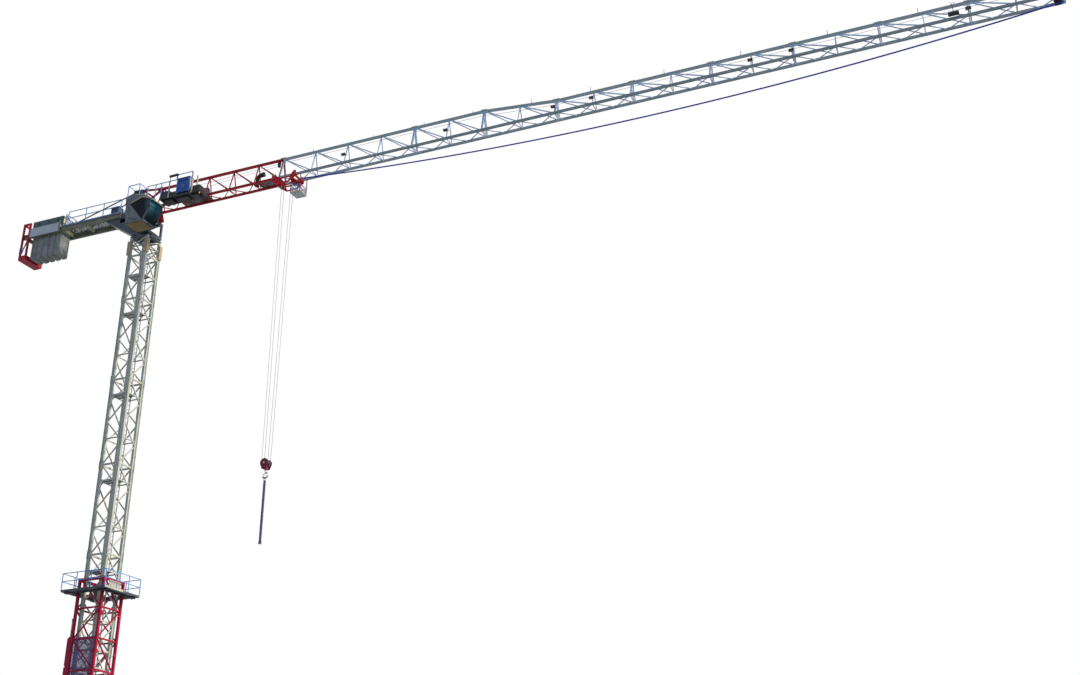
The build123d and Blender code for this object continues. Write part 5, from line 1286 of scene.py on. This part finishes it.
tip = {
    "gauge": ((27.38, -0.365, 0.03), (27.68, -0.295, 0.14)), "stick": (27.53, -0.33, 0.44), "hangHeight": 0.3,
    "block": ((30.16, -0.1, -0.02), (30.4, 0.1, 0.07)), "lamp": (30.4, -0.225, -0.03),
    "cup": [(0.018, 0), (0.014, 0.012), (0.004, 0.018)],
    "tipDome": [(0.026, 0), (0.026, 0.02), (0.022, 0.04), (0.01, 0.055)],
}


def makeTip(look, shape):
    dark, lens = newMeshes(2)
    low, high = corners(look["block"])
    addBox(dark, low, high)
    for y in (low.y, high.y - 0.012):
        addBox(dark, (low.x + 0.02, y, low.z - 0.13), (high.x - 0.04, y + 0.012, low.z))
    low, high = corners(look["gauge"])
    addBox(dark, low, high)
    x, y, height = look["stick"]
    hub = Vector((x, y, plane + height))
    addTube(dark, [(x, y, low.z), hub], 0.008)
    addBar(dark, (x, y, plane + look["hangHeight"]), (x, -0.02, plane + jibDepth(x, shape) - 0.01), 0.014)
    for spoke in spokes(3):
        addBar(dark, hub, hub + spoke * 0.06, 0.004)
        addTurned(dark, hub + spoke * 0.06, spoke.cross(zWay), look["cup"], 10)
    makePiece("tipBlockAndWindGauge", dark, "blackSteelPaint", smooth=True)
    addTurned(lens, Vector(look["lamp"]) + zWay * plane, -zWay, look["tipDome"], 14)
    makePiece("tipLamp", lens, "mouldedRedLens", smooth=True)


# Jib: pins at the section joints, posts of the safety line, ropes inside, power cable on the walkway, drum rope

jib = {
    "joints": (5.46, 10.46, 12.96, 15.46, 17.96, 20.46, 22.96, 25.46, 27.96), "half": 0.22, "pin": 0.014,
    "pinReach": 0.062, "topPin": 0.064, "pinBolt": 0.015,
    "posts": (6.6, 8.9, 10.79, 12.56, 14.6, 16.6, 19.0, 21.4, 24.0, 26.6, 29.2), "postHeight": 0.18,
    "postLimit": 25.87, "postRadius": 0.01, "chordHalf": 0.038, "ropeY": -0.035, "ropeRadius": 0.0055,
    "rope": ((0.9, 0.6), (5.27, 0.69), (12.96, 0.66), (15.46, 0.42), (30.3, 0.4)),
    "drumLead": ((2.3, 0.425), (2.9, 0.5), (5.27, 0.6)), "cableX": (1.2, 4.4), "cableLine": -0.145,
    "cableLevel": 0.04, "hanger": ((5.22, 0.8), (5.34, 0.8), (5.32, 0.58), (5.24, 0.58)),
    "hangerPin": (5.27, 0.63), "turns": 17, "turnX": (2.17, 2.43), "drumLevel": 0.33, "turnRadius": 0.097,
}


def makeJibDetail(look, shape):
    pins, posts, lines, cable, hanger, drum = newMeshes(6)
    for x in look["joints"]:
        rows = [(s * look["half"], plane, look["pinReach"], 0.03) for s in signs]
        for y, z, reach, apart in rows + [(0, plane + jibDepth(x, shape), look["topPin"], 0.04)]:
            for step in (-apart, apart):
                ends = [Vector((x + step, y + s * reach, z)) for s in signs]
                addTube(pins, ends, look["pin"], 10)
                for s, end in zip(signs, ends):
                    addBolt(pins, end, yWay * s, look["pinBolt"])
    makePiece("jibPins", pins, "hotDippedZinc")
    for x in look["posts"]:
        foot = plane + jibDepth(x, shape) + look["chordHalf"]
        height = min(look["postHeight"], look["postLimit"] - foot)
        addTube(posts, [(x, 0, foot - 0.004), (x, 0, foot + height)], look["postRadius"])
        addBox(posts, (x - 0.03, -0.03, foot), (x + 0.03, 0.03, foot + 0.008))
    makePiece("safetyLinePosts", posts, "blueRailPaint")
    rope, lead = ([(x, look["ropeY"], plane + z) for x, z in look[key]] for key in ("rope", "drumLead"))
    for ends in zip(rope, rope[1:]):
        addTube(lines, pointsBetween(*ends, 6, 0.012), look["ropeRadius"], 6)
    addTube(lines, lead, look["ropeRadius"], 6)
    makePiece("innerRopes", lines, "greasedWireRope", smooth=True)
    start, end = (Vector((x, look["cableLine"], plane + look["cableLevel"])) for x in look["cableX"])
    drop = zWay * 0.012
    addBar(cable, start - drop, end - drop, 0.06, 0.004)
    for s in signs:
        flange = yWay * s * 0.028
        addBar(cable, start + flange, end + flange, 0.004, 0.026)
        addTube(cable, pointsBetween(start + yWay * s * 0.012, end + yWay * s * 0.012, 12, 0.004), 0.009)
    makePiece("cableChannel", cable, "tealHousingPaint", smooth=True)
    addPrism(hanger, [(x, -0.03, plane + z) for x, z in look["hanger"]], yWay * 0.06)
    x, z = look["hangerPin"]
    addTube(hanger, [(x, y, plane + z) for y in (-0.05, 0.05)], 0.03, 14)
    makePiece("ropeHanger", hanger, "darkRedPaint", bevel=0.003)
    for spot in pointsBetween(*((x, 0, plane + look["drumLevel"]) for x in look["turnX"]), look["turns"] - 1):
        circle = [spot + spoke * look["turnRadius"] for spoke in spokes(24, yWay, zWay)]
        addTube(drum, circle, 0.0075, 6, closed=True)
    makePiece("drumRope", drum, "laidWireRope", smooth=True)


makeTip(tip, lamps)
makeJibDetail(jib, lamps)
print("jib detail made")


# Climbing cage: fascia and bearers of the platform, panels inside the sides, corner gussets, pump, ram rod

cage = {
    "half": 0.84, "fascia": ((0.837, -0.84, 11.226), (0.844, 0.02, 11.3)), "bearers": (-0.66, -0.57, 0.57, 0.66),
    "bearerTop": 11.22, "creamPanel": ((0.494, -0.26, 11.31), (0.508, 0.3, 11.6)), "frameHalf": 0.4925,
    "screen": ((-0.41, -0.456, 7.1), (0.41, -0.45, 9.86)), "screenRibs": 26, "screenBars": (7.12, 8.48, 9.84),
    "gusset": 0.12, "gussetDepth": 0.006, "nodes": (7.05, 8.23, 9.4, 10.58, 11.6),
    "pump": ((-0.8, 0.42, 11.28), (-0.52, 0.78, 11.48)),
    "guard": ((-0.612, -0.492, 9.03), (-0.494, -0.344, 9.88)),
    "ram": (-0.5525, -0.4175, 9.88), "ramArm": (-0.455, -0.455, 10.43),
    "pumpMotor": [(0.07, 0), (0.07, 0.012), (0.055, 0.016), (0.055, 0.13), (0.04, 0.15)],
    "ramShape": [(0.0476, 0), (0.0476, 0.03), (0.028, 0.035), (0.028, 0.52), (0.042, 0.52), (0.042, 0.57)],
}


def makeCage(look):
    pale, bearers, guard, screen, red, pump, ram = newMeshes(7)
    addBox(pale, *look["fascia"])
    low, high = corners(look["creamPanel"], 0)
    addBox(pale, low, high)
    slats = (high.x, low.y + 0.02, low.z + 0.02), (high.x + 0.006, high.y - 0.02, high.z - 0.02)
    addRibs(pale, *slats, 1, 4, 0.01)
    makePiece("platformFascia", pale, "ivoryMastPaint", "climbing_cage")
    reach, top = look["half"] - 0.01, look["bearerTop"]
    for line in look["bearers"]:
        addBox(bearers, (line - 0.016, -reach, top - 0.03), (line + 0.016, reach, top))
        addBox(bearers, (-reach, line - 0.016, top - 0.026), (reach, line + 0.016, top))
    makePiece("platformBearers", bearers, "blackSteelPaint", "climbing_cage", bevel=0.002)
    low, high = corners(look["guard"], 0)
    folds = ((low.x, low.z), (high.x, low.z), (high.x, high.z), (low.x + 0.04, high.z), (low.x, high.z - 0.05))
    addPrism(guard, [(x, low.y, z) for x, z in folds], yWay * (high.y - low.y))
    makePiece("ramGuard", guard, "redCagePaint", "climbing_cage", bevel=0.003)
    low, high = corners(look["screen"], 0)
    addRibs(screen, low, high, 0, look["screenRibs"], 0.022)
    for z in look["screenBars"]:
        addBox(screen, (low.x, low.y - 0.006, z - 0.02), (high.x, high.y, z + 0.02))
    makePiece("cageScreen", screen, "plumScreenPaint", "climbing_cage")
    face, half, depth = look["frameHalf"] + 0.001, look["gusset"] / 2, look["gussetDepth"]
    for z in look["nodes"]:
        for s, t in quarters:
            x = s * (look["frameHalf"] - 0.075)
            corner = ((x, z - half), (x, z + half), (x - s * look["gusset"] * 0.8, z))
            addPrism(red, [(along, t * face, level) for along, level in corner], yWay * t * depth)
            addPrism(red, [(t * face, along, level) for along, level in corner], xWay * t * depth)
    makePiece("cageGussets", red, "redCagePaint", "climbing_cage")
    low, high = corners(look["pump"], 0)
    addBox(pump, low, high)
    addTurned(pump, ((low.x + high.x) / 2, (low.y + high.y) / 2, high.z), zWay, look["pumpMotor"], 18)
    addRibs(pump, (low.x + 0.02, low.y - 0.006, low.z + 0.03), (high.x - 0.02, low.y, high.z - 0.03), 0, 8, 0.006)
    makePiece("pumpUnit", pump, "tealHousingPaint", "climbing_cage", bevel=0.004)
    x, y, z = look["ram"]
    addTurned(ram, (x, y, z), zWay, look["ramShape"], 18)
    addBar(ram, (x, y, look["ramArm"][2]), look["ramArm"], 0.04)
    makePiece("ramRod", ram, "turnedGreasedSteel", "climbing_cage", smooth=True)


makeCage(cage)
print("cage detail made")
